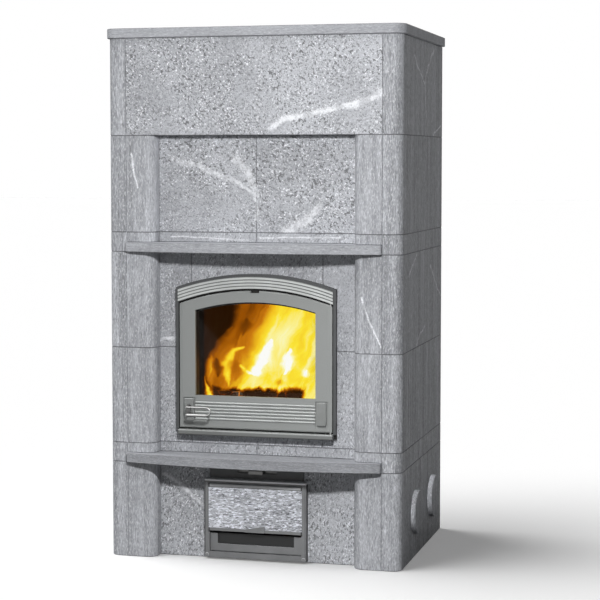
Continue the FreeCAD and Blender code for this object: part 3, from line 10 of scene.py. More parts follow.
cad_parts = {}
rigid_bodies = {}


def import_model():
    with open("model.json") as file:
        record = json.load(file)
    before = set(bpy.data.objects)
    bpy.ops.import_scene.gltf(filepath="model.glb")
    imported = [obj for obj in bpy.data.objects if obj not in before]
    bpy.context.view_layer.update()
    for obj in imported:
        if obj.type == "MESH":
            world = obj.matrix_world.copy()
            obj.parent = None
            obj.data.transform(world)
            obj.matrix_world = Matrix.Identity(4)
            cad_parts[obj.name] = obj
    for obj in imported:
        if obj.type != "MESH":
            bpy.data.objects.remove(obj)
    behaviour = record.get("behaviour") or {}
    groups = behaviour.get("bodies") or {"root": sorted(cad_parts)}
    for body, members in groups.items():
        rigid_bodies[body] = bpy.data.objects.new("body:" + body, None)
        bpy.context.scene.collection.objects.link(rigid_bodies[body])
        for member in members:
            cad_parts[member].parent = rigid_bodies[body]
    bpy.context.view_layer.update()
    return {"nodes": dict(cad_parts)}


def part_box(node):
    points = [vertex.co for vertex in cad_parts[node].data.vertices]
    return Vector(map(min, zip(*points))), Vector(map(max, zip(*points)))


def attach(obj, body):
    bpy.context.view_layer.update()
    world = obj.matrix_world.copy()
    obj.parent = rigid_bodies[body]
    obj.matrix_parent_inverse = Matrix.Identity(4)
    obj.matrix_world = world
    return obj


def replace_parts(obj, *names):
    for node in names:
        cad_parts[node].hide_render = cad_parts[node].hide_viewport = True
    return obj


bl_info = {
    "name": "Soapstone oven finish",
    "version": (1, 0, 0),
    "blender": (4, 5, 0),
    "location": "View3D > Sidebar > Oven",
    "description": "Gives the soapstone oven its stone, iron, glass, seals, fire and stage",
    "category": "Object",
}

for leftover in list(bpy.data.objects):
    bpy.data.objects.remove(leftover)

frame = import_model()
cad_pieces = frame["nodes"]


# Settings that a user would change


def setting(kind, **fixed):
    """A function that declares settings of one kind."""
    def declare(name, description, default):
        return kind(name=name, description=description, default=default, **fixed)

    return declare


number_setting = setting(bpy.props.FloatProperty)
length_setting = setting(bpy.props.FloatProperty, subtype="DISTANCE", unit="LENGTH", precision=4)
angle_setting = setting(bpy.props.FloatProperty, subtype="ANGLE", unit="ROTATION")
lens_setting = setting(bpy.props.FloatProperty, subtype="DISTANCE_CAMERA")
whole_setting = setting(bpy.props.IntProperty, min=1)
colour_setting = setting(bpy.props.FloatVectorProperty, subtype="COLOR", size=3, min=0.0, max=1.0)
place_setting = setting(bpy.props.FloatVectorProperty, subtype="TRANSLATION", precision=4)


class StoneSettings(bpy.types.PropertyGroup):
    """Colours and grain of the stones."""

    casing: number_setting("Casing tone", "Brightness of the striated casing stones", 0.42)
    panel: number_setting("Panel tone", "Brightness of the flecked panel stones", 0.46)
    flap: number_setting("Flap tone", "Brightness of the streaked stone in the ash flap", 0.45)
    core: number_setting("Core tone", "Brightness of the sawn stones inside", 0.16)
    grain: number_setting("Grain", "Streaks in a metre across the grain of a casing stone", 225.0)
    fleck: number_setting("Flecks", "Flecks in a metre of panel stone", 104.0)


class MetalSettings(bpy.types.PropertyGroup):
    """Colours of the castings and the bright fittings."""

    door: colour_setting("Door iron", "Satin paint of the fire door", (0.27, 0.28, 0.275))
    hood: colour_setting("Hood iron", "Lighter satin paint on the hood's ribs", (0.58, 0.60, 0.59))
    groove_shade: colour_setting("Hood grooves", "Dark paint between the hood's ribs", (0.19, 0.195, 0.195))
    # Painted shade: the hood grooves' tone stands for the shade between its ribs.
    rim: colour_setting("Rim iron", "Dark paint of the frame behind the door", (0.075, 0.078, 0.08))
    ash: colour_setting("Ash door iron", "Grey paint of the ash door", (0.165, 0.168, 0.172))
    steel: colour_setting("Bright steel", "Polished handle and pins", (0.46, 0.46, 0.455))


class SealSettings(bpy.types.PropertyGroup):
    """Sizes of the woven seals."""

    arch_centre: length_setting("Arch centre", "Height of the centre of the door's arches", 0.1485)
    seal_width: length_setting("Rope width", "Width of the rope on the frame's flange", 0.007)
    tape_width: length_setting("Tape width", "Width of the tape under the glass", 0.008)
    plait: length_setting("Plait", "Length in which a strand crosses the rope and comes back", 0.016)
    colour: colour_setting("Rope colour", "Charcoal glass fibre", (0.055, 0.053, 0.05))


class FireSettings(bpy.types.PropertyGroup):
    """Sizes of the logs, embers and flames."""

    log_length: length_setting("Log length", "Length of the log that shows behind the glass", 0.348)
    log_radius: length_setting("Log radius", "Radius of a log before it is split", 0.043)
    coal_count: whole_setting("Coals", "Coals on the grate", 170)
    coal_size: length_setting("Coal size", "Mean radius of a coal", 0.011)
    flame_depth: length_setting("Flame depth", "Where the sheet of flame stands, along the depth", -0.215)
    seed: whole_setting("Seed", "Start of everything random in the fire", 5)


class StageSettings(bpy.types.PropertyGroup):
    """Floor, light and camera."""

    key: number_setting("Key light", "Power of the soft lamp in front, without loss over distance", 35.0)
    key_size: length_setting("Key size", "Width of the soft lamp in front", 0.20)
    key_place: place_setting("Key place", "Where the soft lamp stands", (0.62, -2.2, 1.9))
    fill: number_setting("Side light", "Strength of the very soft light from the left", 3.1)
    ambient: number_setting("Ambient light", "Strength of the even light from all round", 0.08)
    floor: number_setting("Floor", "Brightness of the floor for the light it throws back", 0.3)
    seen_floor: number_setting("Seen floor", "Brightness of the floor as it shows", 0.89)
    lift: number_setting("Floor lift", "Light added where the floor shows, so that it ends in white", 0.19)
    lens: lens_setting("Lens", "Focal length", 105.36)
    camera: place_setting("Camera place", "Where the camera stands", (1.7737, -6.3937, 1.4456))
    turn: angle_setting("Camera turn", "Turn to the left of straight back", math.radians(14.881))
    dip: angle_setting("Camera dip", "Dip below the level", math.radians(3.71))


# Shader and geometry nodes


LEVEL = 0
DEEP = 1
UPRIGHT = 2


def along(axis, share):
    """Scales that draw a pattern out along one axis, or flatten it there when the share is 0."""
    return tuple(share if index == axis else 1.0 for index in range(3))


class Nodes:
    """Adds nodes to one tree; most calls give back the new node's main output."""

    def __init__(self, tree):
        self.tree = tree

    def feed(self, socket, value):
        """Links an output or a node's first output to a socket, or sets the socket's own value."""
        if isinstance(value, bpy.types.Node):
            value = value.outputs[0]
        if isinstance(value, bpy.types.NodeSocket):
            self.tree.links.new(value, socket)
        else:
            socket.default_value = value

    def add(self, kind, inputs=None, **settings):
        """A new node with its settings and inputs."""
        node = self.tree.nodes.new(kind)
        for key, value in settings.items():
            setattr(node, key, value)
        for key, value in (inputs or {}).items():
            self.feed(node.inputs[key], value)
        return node

    def math(self, operation, first, second=0.0, clamp=False):
        """One sum on numbers."""
        node = self.add("ShaderNodeMath", {0: first, 1: second}, operation=operation, use_clamp=clamp)
        return node.outputs[0]

    def plus(self, first, second):
        """The sum of two numbers."""
        return self.math("ADD", first, second)

    def minus(self, first, second):
        """The first number less the second."""
        return self.math("SUBTRACT", first, second)

    def times(self, first, second):
        """The product of two numbers."""
        return self.math("MULTIPLY", first, second)

    def larger(self, first, second):
        """The larger of two numbers."""
        return self.math("MAXIMUM", first, second)

    def size(self, value):
        """The number without its sign."""
        return self.math("ABSOLUTE", value)

    def vector(self, operation, first, second):
        """One sum on vectors."""
        node = self.add("ShaderNodeVectorMath", {0: first, 1: second}, operation=operation)
        return node.outputs["Value" if operation in ("DOT_PRODUCT", "DISTANCE") else "Vector"]

    def scaled(self, vector, factor):
        """A vector times a number."""
        node = self.add("ShaderNodeVectorMath", {0: vector, "Scale": factor}, operation="SCALE")
        return node.outputs["Vector"]

    def spread(self, value, low, high, first=0.0, last=1.0):
        """Smoothly goes from first to last as the value goes from low to high."""
        inputs = {"Value": value, "From Min": low, "From Max": high, "To Min": first, "To Max": last}
        return self.add("ShaderNodeMapRange", inputs, interpolation_type="SMOOTHSTEP").outputs["Result"]

    def place(self, vector, move=(0, 0, 0), stretch=(1, 1, 1)):
        """The vector stretched and then moved."""
        inputs = {"Vector": vector, "Location": move, "Scale": stretch}
        return self.add("ShaderNodeMapping", inputs).outputs[0]

    def drawn(self, vector, turn, longer):
        """The vector turned first, so that a pattern is drawn out along the turned axes."""
        inputs = {"Vector": vector, "Rotation": turn, "Scale": longer}
        return self.add("ShaderNodeMapping", inputs, vector_type="TEXTURE").outputs[0]

    def noise(self, vector, scale, detail=2.0, roughness=0.5, distortion=0.0):
        """Cloudy noise from 0 to 1."""
        inputs = {"Vector": vector, "Scale": scale, "Detail": detail, "Roughness": roughness}
        return self.add("ShaderNodeTexNoise", {**inputs, "Distortion": distortion}).outputs["Fac"]

    def streaks(self, vector, axis, share, scale, detail, roughness, move=(0, 0, 0)):
        """Noise drawn out along one axis."""
        return self.noise(self.place(vector, move, along(axis, share)), scale, detail, roughness)

    def warped(self, vector, scale, reach, detail=2.0):
        """The vector pushed about by up to half the reach."""
        push = self.add("ShaderNodeTexNoise", {"Vector": vector, "Scale": scale, "Detail": detail})
        centred = self.vector("SUBTRACT", push.outputs["Color"], (0.5, 0.5, 0.5))
        return self.vector("ADD", vector, self.scaled(centred, reach))

    def cracks(self, vector, scale):
        """Distance from the nearest crack between cells."""
        inputs = {"Vector": vector, "Scale": scale}
        return self.add("ShaderNodeTexVoronoi", inputs, feature="DISTANCE_TO_EDGE").outputs["Distance"]

    def ramp(self, value, *stops):
        """A colour for each place along the value."""
        node = self.add("ShaderNodeValToRGB", {"Fac": value})
        elements = node.color_ramp.elements
        while len(elements) < len(stops):
            elements.new(1.0)
        for element, (position, colour) in zip(elements, stops):
            element.position = position
            element.color = (*colour, 1.0)
        return node.outputs["Color"]

    def mix(self, share, first, last, kind="MIX"):
        """A share of the last colour laid over the first."""
        node = self.add("ShaderNodeMix", data_type="RGBA", blend_type=kind)
        self.feed(node.inputs[0], share)
        for socket, colour in ((node.inputs[6], first), (node.inputs[7], last)):
            self.feed(socket, (*colour, 1.0) if isinstance(colour, tuple) else colour)
        return node.outputs[2]

    def parts(self, vector):
        """The three numbers of a vector."""
        return self.add("ShaderNodeSeparateXYZ", {0: vector}).outputs

    def vein(self, position, start, end, first, last):
        """A soft streak from start to end, whose half width goes from first to last."""
        given = {"Position": position, "Start": start, "End": end, "First": first, "Last": last}
        return self.add("ShaderNodeGroup", given, node_tree=vein_group()).outputs["Mask"]


def new_group(name, kind, inputs, outputs):
    """An empty node group; inputs and outputs give each socket's name and its kind of value."""
    tree = bpy.data.node_groups.new(name, kind)
    for way, sockets in (("INPUT", inputs), ("OUTPUT", outputs)):
        for word, value in sockets.items():
            tree.interface.new_socket(word, in_out=way, socket_type=f"NodeSocket{value}")
    return tree


def vein_group():
    """The shared node group that draws one soft streak between two points."""
    known = bpy.data.node_groups.get("Vein")
    if known:
        return known
    points = dict.fromkeys(("Position", "Start", "End"), "Vector")
    widths = dict.fromkeys(("First", "Last"), "Float")
    tree = new_group("Vein", "ShaderNodeTree", {**points, **widths}, {"Mask": "Float"})
    make = Nodes(tree)
    given = make.add("NodeGroupInput").outputs
    run = make.vector("SUBTRACT", given["End"], given["Start"])
    reach = make.vector("SUBTRACT", given["Position"], given["Start"])
    passed = make.vector("DOT_PRODUCT", reach, run)
    share = make.math("DIVIDE", passed, make.vector("DOT_PRODUCT", run, run), clamp=True)
    gap = make.vector("DISTANCE", reach, make.scaled(run, share))
    ends = {"To Min": given["First"], "To Max": given["Last"]}
    width = make.add("ShaderNodeMapRange", {"Value": share, **ends})
    make.add("NodeGroupOutput", {"Mask": make.spread(gap, 0.0, width, 1.0, 0.0)})
    return tree


class Finish(Nodes):
    """One procedural material, read in the piece's own coordinates."""

    def __init__(self, name):
        self.material = bpy.data.materials.new(name)
        self.material.use_nodes = True
        super().__init__(self.material.node_tree)
        self.surface = self.tree.nodes["Principled BSDF"]
        found = self.add("ShaderNodeTexCoord")
        self.position = found.outputs["Object"]
        self.normal = found.outputs["Normal"]
        self.uv = found.outputs["UV"]

    def set(self, **inputs):
        """Feeds the surface's sockets, named with _ for a space."""
        for key, value in inputs.items():
            self.feed(self.surface.inputs[key.replace("_", " ")], value)

    def shine(self, shader):
        """Puts another shader in the place of the usual surface."""
        self.tree.nodes.remove(self.surface)
        self.feed(self.tree.nodes["Material Output"].inputs["Surface"], shader)

    def bump(self, height, strength, distance):
        """Roughens the surface by a height."""
        rough = self.add("ShaderNodeBump", {"Height": height, "Strength": strength, "Distance": distance})
        self.feed(self.surface.inputs["Normal"], rough)

    def greys(self, value, level, *stops):
        """Stone greys along the value; each stop gives its place and its share of the level."""
        return self.ramp(value, *((place, stone_grey(share * level)) for place, share in stops))

    def flecked(self, colour, value, low, high, share, level):
        """The colour with a share of another stone grey laid on as the value goes from low to high."""
        return self.mix(self.spread(value, low, high, 0.0, share), colour, stone_grey(level))

    def slopes(self, axis):
        """1 on faces that slope half way towards an axis, such as an eased edge, and 0 on flat faces."""
        lean = self.size(self.parts(self.normal)[axis])
        return self.times(self.spread(lean, 0.45, 0.6), self.spread(lean, 0.82, 0.95, 1.0, 0.0))

    def outward(self):
        """1 on faces that look away from the oven's middle plane, 0 on those that look towards it."""
        turned = self.parts(self.normal)["X"]
        side = self.math("SIGN", self.parts(self.position)["X"])
        return self.math("GREATER_THAN", self.times(turned, side), 0.0)

    def banded(self, colour, bands):
        """The colour, with another tone beyond a level along each band's axis; X counts from the middle."""
        blur = 0.001
        for axis, level, tone in bands:
            reach = self.parts(self.position)[axis]
            if axis == "X":
                reach = self.size(reach)
            colour = self.mix(self.spread(reach, level - blur, level + blur), colour, tone)
        return colour

    def across(self, colour, first, last):
        """Painted light: the colour times a factor that goes from first at the oven's left to last at its
        right.
        """
        half = 0.5
        return self.scaled(colour, self.spread(self.parts(self.position)["X"], -half, half, first, last))

    def paint(self, *names):
        """Lays the material on CAD pieces."""
        for name in names:
            for slot in cad_pieces[name].material_slots:
                slot.material = self.material


def stone_grey(level):
    """The cool grey of soapstone at one brightness."""
    return (0.985 * level, level, 1.04 * level)


def toned(colour, share):
    """A colour made lighter or darker."""
    return tuple(min(1.0, share * part) for part in colour)


# Stone


def named(*starts):
    """The CAD pieces whose names begin with one of the given words, in order."""
    return [name for name in sorted(cad_pieces) if name.startswith(starts)]


def casing_stone(name, level, grain, axis, seed, joint, depth=1.0):
    """Honed soapstone with fine short streaks of some depth along one axis, and darker joints."""
    stone = Finish(f"{name}_stone")
    shift = (1.7 * seed, 0.9 * seed, 2.3 * seed)
    fine = stone.streaks(stone.position, axis, 0.14, grain, 4.0, 0.65, shift)
    short = stone.streaks(stone.position, axis, 0.30, 1.35 * grain, 2.0, 0.5, shift)
    broad = stone.streaks(stone.position, axis, 0.25, 12.0, 3.0, 0.55, shift)
    bands = stone.streaks(stone.position, axis, 0.025, 30.0, 3.0, 0.6, shift)
    colour = stone.greys(fine, level, (0.30, 1.0 - 0.48 * depth), (0.46, 1.0 - 0.08 * depth),
                         (0.57, 1.0 + 0.06 * depth), (0.72, 1.0 + 0.70 * depth))
    colour = stone.mix(0.6, colour, stone.greys(broad, 1.0, (0.3, 0.74), (0.7, 1.0)), "MULTIPLY")
    colour = stone.scaled(colour, stone.spread(bands, 0.3, 0.7, 1.0 - 0.26 * depth, 1.0 + 0.14 * depth))
    colour = stone.flecked(colour, short, 0.57, 0.66, 0.6 * depth, 1.65 * level)
    colour = stone.flecked(colour, short, 0.43, 0.34, 0.6 * depth, 0.5 * level)
    stone.colour = colour if joint == "none" else jointed(stone, colour, joint)
    stone.height = fine
    return stone


def jointed(stone, colour, side):
    """The colour with the eased edges between stones darkened; side picks which upright edges count."""
    lines = stone.times(stone.slopes(UPRIGHT), 0.55)
    if side != "level":
        upright = stone.times(stone.slopes(LEVEL), 0.42 if side == "both" else 0.16)
        if side == "outward":
            upright = stone.times(upright, stone.outward())
        if side == "inward":
            upright = stone.times(upright, stone.minus(1.0, stone.outward()))
        lines = stone.larger(lines, upright)
    return stone.mix(lines, colour, stone_grey(0.09))


def hone(stone, *names):
    """Gives a stone its honed surface and lays it."""
    rough = stone.spread(stone.height, 0.2, 0.8, 0.72, 0.52)
    stone.set(Base_Color=stone.colour, Roughness=rough, Specular_IOR_Level=0.12)
    stone.bump(stone.height, 0.12, 0.0012)
    stone.paint(*names)


def veins_of(name):
    """Where pale veins cross a stone, each piece of a vein as start, end and half widths."""
    low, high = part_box(name)
    axis = DEEP if name.startswith("side") else LEVEL

    def at(share, up):
        """A place given as shares of the stone's width and height."""
        point = Vector((0.0, 0.0, low.z + up * (high.z - low.z)))
        point[axis] = low[axis] + share * (high[axis] - low[axis])
        return tuple(point)

    def run(first, last, *places):
        """A vein through the places, whose half width goes from first to last."""
        points = [at(*place) for place in places]
        steps = len(points) - 1
        widths = [first + (last - first) * step / steps for step in range(steps + 1)]
        return list(zip(points, points[1:], widths, widths[1:]))

    if name == "side_slabs_crown":
        fork = (0.53, 0.52)
        return (run(0.010, 0.006, (0.28, 0.80), (0.40, 0.66), fork, (0.57, 0.25), (0.59, 0.0))
                + run(0.010, 0.006, (0.78, 0.95), (0.62, 0.78), fork)
                + run(0.010, 0.006, (0.76, 0.02), (0.96, 0.14)))
    if name == "side_slabs_door_upper":
        return (run(0.010, 0.006, (0.37, 0.98), (0.25, 0.86), (0.16, 0.74))
                + run(0.010, 0.006, (0.69, 0.80), (0.97, 0.42))
                + run(0.010, 0.006, (0.56, 0.19), (0.45, 0.12), (0.35, 0.02)))
    if name == "pilasters_door_upper":
        return run(0.009, 0.006, (0.925, 0.56), (0.938, 0.42), (0.962, 0.27), (0.981, 0.16), (0.996, 0.06))
    if name == "pilasters_upper":
        return run(0.009, 0.006, (0.020, 0.80), (0.030, 0.64), (0.047, 0.46))
    if name == "frieze_panel":
        return (run(0.017, 0.026, (0.62, 0.15), (0.80, 0.25), (0.90, 0.31), (1.0, 0.42))
                + run(0.020, 0.026, (0.68, 0.20), (0.62, 0.15), (0.58, 0.08)))
    if name == "upper_panels":
        return (run(0.022, 0.014, (0.07, 0.76), (0.21, 0.68), (0.41, 0.50), (0.50, 0.38))
                + run(0.010, 0.012, (0.49, 0.36), (0.50, 0.12))
                + run(0.046, 0.020, (0.66, 0.02), (0.76, 0.14), (0.82, 0.28))
                + run(0.034, 0.020, (0.40, 0.74), (0.46, 0.60), (0.50, 0.42)))
    if name == "base_panels":
        return run(0.017, 0.012, (0.03, 0.86), (0.14, 0.70), (0.23, 0.55))
    if name == "mantel_course_strips":
        return (run(0.006, 0.005, (0.06, 0.55), (0.30, 0.40), (0.46, 0.2))
                + run(0.006, 0.004, (0.52, 0.5), (0.92, 0.6)))
    if name == "jamb_stones":
        return run(0.012, 0.018, (0.0, 0.54), (0.12, 0.535))
    return []


def veined(stone, name, flat, scale, sway, detail, tone):
    """Lays a stone's pale, swaying, feathered veins over it; they run through it along the flat axis."""
    threads = stone.place(stone.warped(stone.position, scale, sway, detail), stretch=along(flat, 0.0))
    ragged = stone.noise(stone.position, 170.0, 5.0, 0.85)
    worn = stone.noise(stone.position, 45.0, 3.0, 0.6)
    for start, end, first, last in veins_of(name):
        mask = stone.vein(threads, start, end, first, last)
        torn = stone.plus(mask, stone.times(stone.minus(ragged, 0.52), 3.2))
        mask = stone.times(stone.spread(mask, 0.0, 0.5), stone.spread(torn, 0.1, 1.1))
        mask = stone.times(mask, stone.spread(worn, 0.32, 0.62, 0.3, 1.0))
        stone.colour = stone.mix(mask, stone.colour, stone_grey(tone))


def lay_casing(settings):
    """Slabs, pilasters and plugs with upright grain, top slab and shelves with level grain."""
    casing = settings.casing
    grain = settings.grain
    for seed, name in enumerate(named("side_slabs", "back_slab")):
        joint = "inward" if name.startswith("side") else "both"
        stone = casing_stone(name, casing, grain, UPRIGHT, seed, joint)
        veined(stone, name, LEVEL, 9.0, 0.07, 4.0, 0.85)
        hone(stone, name)
    for seed, name in enumerate(named("pilasters")):
        stone = casing_stone(name, 1.02 * casing, grain, UPRIGHT, 3.1 * seed, "outward", 0.8)
        veined(stone, name, DEEP, 20.0, 0.02, 4.0, 0.85)
        hone(stone, name)
    for seed, name in enumerate(("top_slab", "mantel_shelf", "hearth_shelf")):
        tone = casing * (0.74 if name == "hearth_shelf" else 1.0)
        hone(casing_stone(name, tone, 1.15 * grain, LEVEL, 5.3 * seed, "level", 0.5), name)
    for seed, name in enumerate(named("soot_plug")):
        hone(casing_stone(name, casing, grain, UPRIGHT, 2.7 * seed, "none"), name)


def panel_stone(name, level, fleck, seed, slant, longer, strength):
    """Honed soapstone with clustered slanting dark grains and white flecks over a cloudy ground, and painted
    light that grows towards the oven's right.
    """
    stone = Finish(f"{name}_stone")
    loose = stone.place(stone.position, (2.1 * seed, 0.7 * seed, 1.3 * seed))
    pushed = stone.warped(loose, 40.0, 0.016)
    turned = stone.drawn(pushed, (0.0, slant, 0.0), along(UPRIGHT, longer))
    grain = stone.noise(turned, fleck, 3.0, 0.6)
    dots = stone.noise(stone.place(turned, (3.0, 1.0, 2.0)), 1.9 * fleck, 2.0, 0.5)
    sparks = stone.noise(stone.place(turned, (7.0, 5.0, 1.0)), 1.5 * fleck, 2.0, 0.55)
    cloud = stone.noise(loose, 4.5, 4.0, 0.6, 0.6)
    mist = stone.noise(pushed, 60.0, 5.0, 0.7)
    ground = stone.greys(cloud, level, (0.32, 0.90), (0.68, 1.20))
    ground = stone.mix(0.6, ground, stone.greys(mist, 1.0, (0.3, 0.72), (0.7, 1.0)), "MULTIPLY")
    # Painted light: the ground grows lighter from the oven's left to its right.
    ground = stone.across(ground, 0.90, 1.08)
    cluster = stone.spread(stone.noise(loose, 7.0, 3.0, 0.6, 0.5), 0.36, 0.58, 0.35 * strength, strength)
    colour = stone.flecked(ground, sparks, 0.55, 0.66, cluster, 1.85 * level)
    colour = stone.flecked(colour, dots, 0.44, 0.35, 0.85 * strength, 0.45 * level)
    colour = stone.flecked(colour, grain, 0.47, 0.38, cluster, 0.36 * level)
    stone.colour = jointed(stone, colour, "both")
    stone.height = grain
    return stone


def lay_panels(settings):
    """Frieze, recess panels, strips, jambs, lintel, sill and base panels."""
    slants = {"frieze_panel": -0.75, "upper_panels": -0.9, "base_panels": 0.2, "lintel_stone": 0.3}
    spotted = ("frieze_panel", "upper_panels")
    calm = ("mantel_course_strips", "hearth_course_strips", "jamb_stones", "lintel_stone", "sill_stone")
    for seed, name in enumerate((*spotted, *calm, "base_panels")):
        level = settings.panel * (0.93 if name in calm else 1.0)
        fleck = settings.fleck * (1.12 if name in spotted else 1.35)
        longer = 1.2 if name in spotted else 1.8
        strength = 0.7 if name in calm else 1.0
        stone = panel_stone(name, level, fleck, seed, slants.get(name, 0.1), longer, strength)
        sway = 0.010 if "strips" in name else 0.035
        veined(stone, name, DEEP, 20.0, sway, 6.0, 0.83 if name == "frieze_panel" else 0.72)
        hone(stone, name)


def lay_core(settings):
    """Sawn stone inside, black with soot round the fire."""
    soot = (0.012, 0.010, 0.008)
    for seed, name in enumerate(("firebox_floor", "firebox_side_walls", "firebox_back_wall", "firebox_roof",
                                 "chamber_walls", "ash_chamber_walls", "base_slab")):
        stone = Finish(f"{name}_stone")
        loose = stone.place(stone.position, (seed, seed, seed))
        sawn = stone.streaks(loose, UPRIGHT, 0.2, 160.0, 3.0, 0.6)
        cloud = stone.noise(loose, 7.0, 4.0, 0.6, 0.5)
        tone = settings.core * (0.16 if name.startswith("firebox") else 1.0)
        clean = stone.greys(sawn, tone, (0.3, 0.75), (0.7, 1.2))
        colour = stone.mix(stone.spread(cloud, 0.35, 0.65, 0.1, 0.85), clean, soot)
        stone.set(Base_Color=colour, Roughness=0.9, Specular_IOR_Level=0.15)
        stone.bump(sawn, 0.3, 0.002)
        stone.paint(name)


def lay_flap_stone(settings):
    """The pale stone of the ash flap, with short dark and white dashes along its length."""
    stone = Finish("flap_stone")
    level = settings.flap
    loose = stone.warped(stone.position, 22.0, 0.007, 3.0)
    broad = stone.streaks(loose, LEVEL, 0.4, 30.0, 3.0, 0.55)
    dashes = stone.streaks(loose, LEVEL, 0.26, 300.0, 3.0, 0.6)
    sparks = stone.streaks(loose, LEVEL, 0.26, 260.0, 4.0, 0.6, (3.0, 1.0, 2.0))
    colour = stone.greys(broad, level, (0.30, 0.82), (0.50, 1.05), (0.70, 1.4))
    colour = stone.flecked(colour, dashes, 0.48, 0.39, 0.95, 0.30 * level)
    colour = stone.flecked(colour, sparks, 0.51, 0.61, 1.0, 2.0 * level)
    stone.colour = stone.mix(1.0, colour, (0.955, 0.965, 1.0), "MULTIPLY")
    stone.height = dashes
    hone(stone, "flap_stone")


# Metal and glass


def cast_iron(name, colour, worn, rough, *pieces, bands=()):
    """Painted cast iron: a fine cast skin, faint clouds, edges lightened as wear and as a painted highlight,
    bands of another tone, and painted light that grows towards the oven's right.
    """
    iron = Finish(name)
    skin = iron.noise(iron.position, 520.0, 3.0, 0.6)
    cloud = iron.noise(iron.position, 11.0, 4.0, 0.6)
    paint = iron.ramp(cloud, (0.3, toned(colour, 0.88)), (0.7, toned(colour, 1.10)))
    # Painted light: the paint grows lighter from the oven's left to its right.
    paint = iron.across(iron.banded(paint, bands), 0.84, 1.06)
    paint = iron.mix(0.25, paint, iron.ramp(skin, (0.3, (0.7, 0.7, 0.7)), (0.7, (1.0, 1.0, 1.0))), "MULTIPLY")
    # Edges: partly wear and partly a painted highlight; worn sets how strongly they are lightened.
    edges = iron.larger(iron.slopes(UPRIGHT), iron.slopes(LEVEL))
    worn_and_highlit_edges = iron.times(edges, iron.spread(cloud, 0.25, 0.7, 0.35 * worn, worn))
    paint = iron.mix(worn_and_highlit_edges, paint, toned(colour, 2.3))
    iron.set(Base_Color=paint, Roughness=iron.spread(skin, 0.2, 0.8, rough + 0.08, rough - 0.08),
             Metallic=0.15, Specular_IOR_Level=0.4)
    iron.bump(skin, 0.18, 0.0006)
    iron.paint(*pieces)


def lay_door_iron(settings):
    """The fire door's castings: painted highlights on the leaf's ribs and the sill's top, painted shade in
    the hood's grooves and under the sill, and soot behind the leaf.
    """
    door = tuple(settings.door)
    soot = (0.012, 0.011, 0.010)
    line = 0.004
    leaf_rib = 0.0025
    hood_rib = 0.0014
    leaf_front, leaf_back = (corner.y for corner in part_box("door_leaf"))
    hood_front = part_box("frame_hood")[0].y
    sill_low, sill_high = (corner.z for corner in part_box("frame_sill"))
    # Painted highlight: the tops of the leaf's ribs are lighter than the leaf behind them.
    cast_iron("door_iron", toned(door, 1.5), 0.2, 0.48, "door_leaf",
              bands=[("Y", leaf_front + leaf_rib, door)])
    cast_iron("plate_iron", toned(door, 0.85), 0.4, 0.48, "handle_plates")
    # Painted shade: the grooves between the hood's ribs are darker than the rib tops.
    cast_iron("hood_iron", tuple(settings.hood), 0.3, 0.42, "frame_hood",
              bands=[("Y", hood_front + hood_rib, tuple(settings.groove_shade))])
    # Painted highlight along the sill's top and painted shade along its lower edge.
    cast_iron("sill_iron", toned(door, 0.3), 0.1, 0.42, "frame_sill",
              bands=[("Z", sill_low + line, toned(door, 0.62)), ("Z", sill_high - line, toned(door, 1.35))])
    cast_iron("rim_iron", tuple(settings.rim), 0.1, 0.5, "door_frame", bands=[("Y", leaf_back, soot)])


def lay_ash_iron(settings):
    """The castings of the ash door and the air slide's plate, with painted highlights and painted shade lines
    along their edges, and the plate darkened as painted shade.
    """
    ash = tuple(settings.ash)
    black = toned(ash, 0.25)
    dark = toned(ash, 0.3)
    line = 0.004
    lip = 0.0015
    field = 0.005
    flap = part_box("ash_flap")[1]
    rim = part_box("ash_frame")[1]
    drawer_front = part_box("ash_drawer_front")[0].y
    # Painted shade: the air plate is darkened as if the hearth shelf shades it.
    cast_iron("air_iron", toned(ash, 0.40), 0.3, 0.55, "air_plate")
    # Painted highlight in a band under the flap's top edge, and painted shade along its outer edges.
    cast_iron("flap_iron", toned(ash, 1.2), 0.8, 0.5, "ash_flap",
              bands=[("Z", flap.z - 3 * line, toned(ash, 2.8)), ("X", flap.x - line, black),
                     ("Z", flap.z - line, black)])
    # Painted shade along the frame's sides and below its top, and a painted highlight along its top.
    cast_iron("ash_iron", toned(ash, 1.15), 0.8, 0.5, "ash_frame", "ash_drawer",
              bands=[("X", rim.x - line, dark), ("Z", rim.z - 2.8 * line, dark),
                     ("Z", rim.z - 1.9 * line, toned(ash, 4.0))])
    # Painted highlight on the wall of the drawer's recess; the field inside is the drawer's dark panel.
    cast_iron("drawer_iron", toned(ash, 1.15), 0.8, 0.5, "ash_drawer_front",
              bands=[("Y", drawer_front + lip, toned(ash, 3.2)),
                     ("Y", drawer_front + field, toned(ash, 0.1))])
    cast_iron("bolt_iron", toned(ash, 1.3), 0.6, 0.45, "ash_frame_bolts")
    cast_iron("grate_iron", toned(ash, 0.2), 0.2, 0.75, "grate")


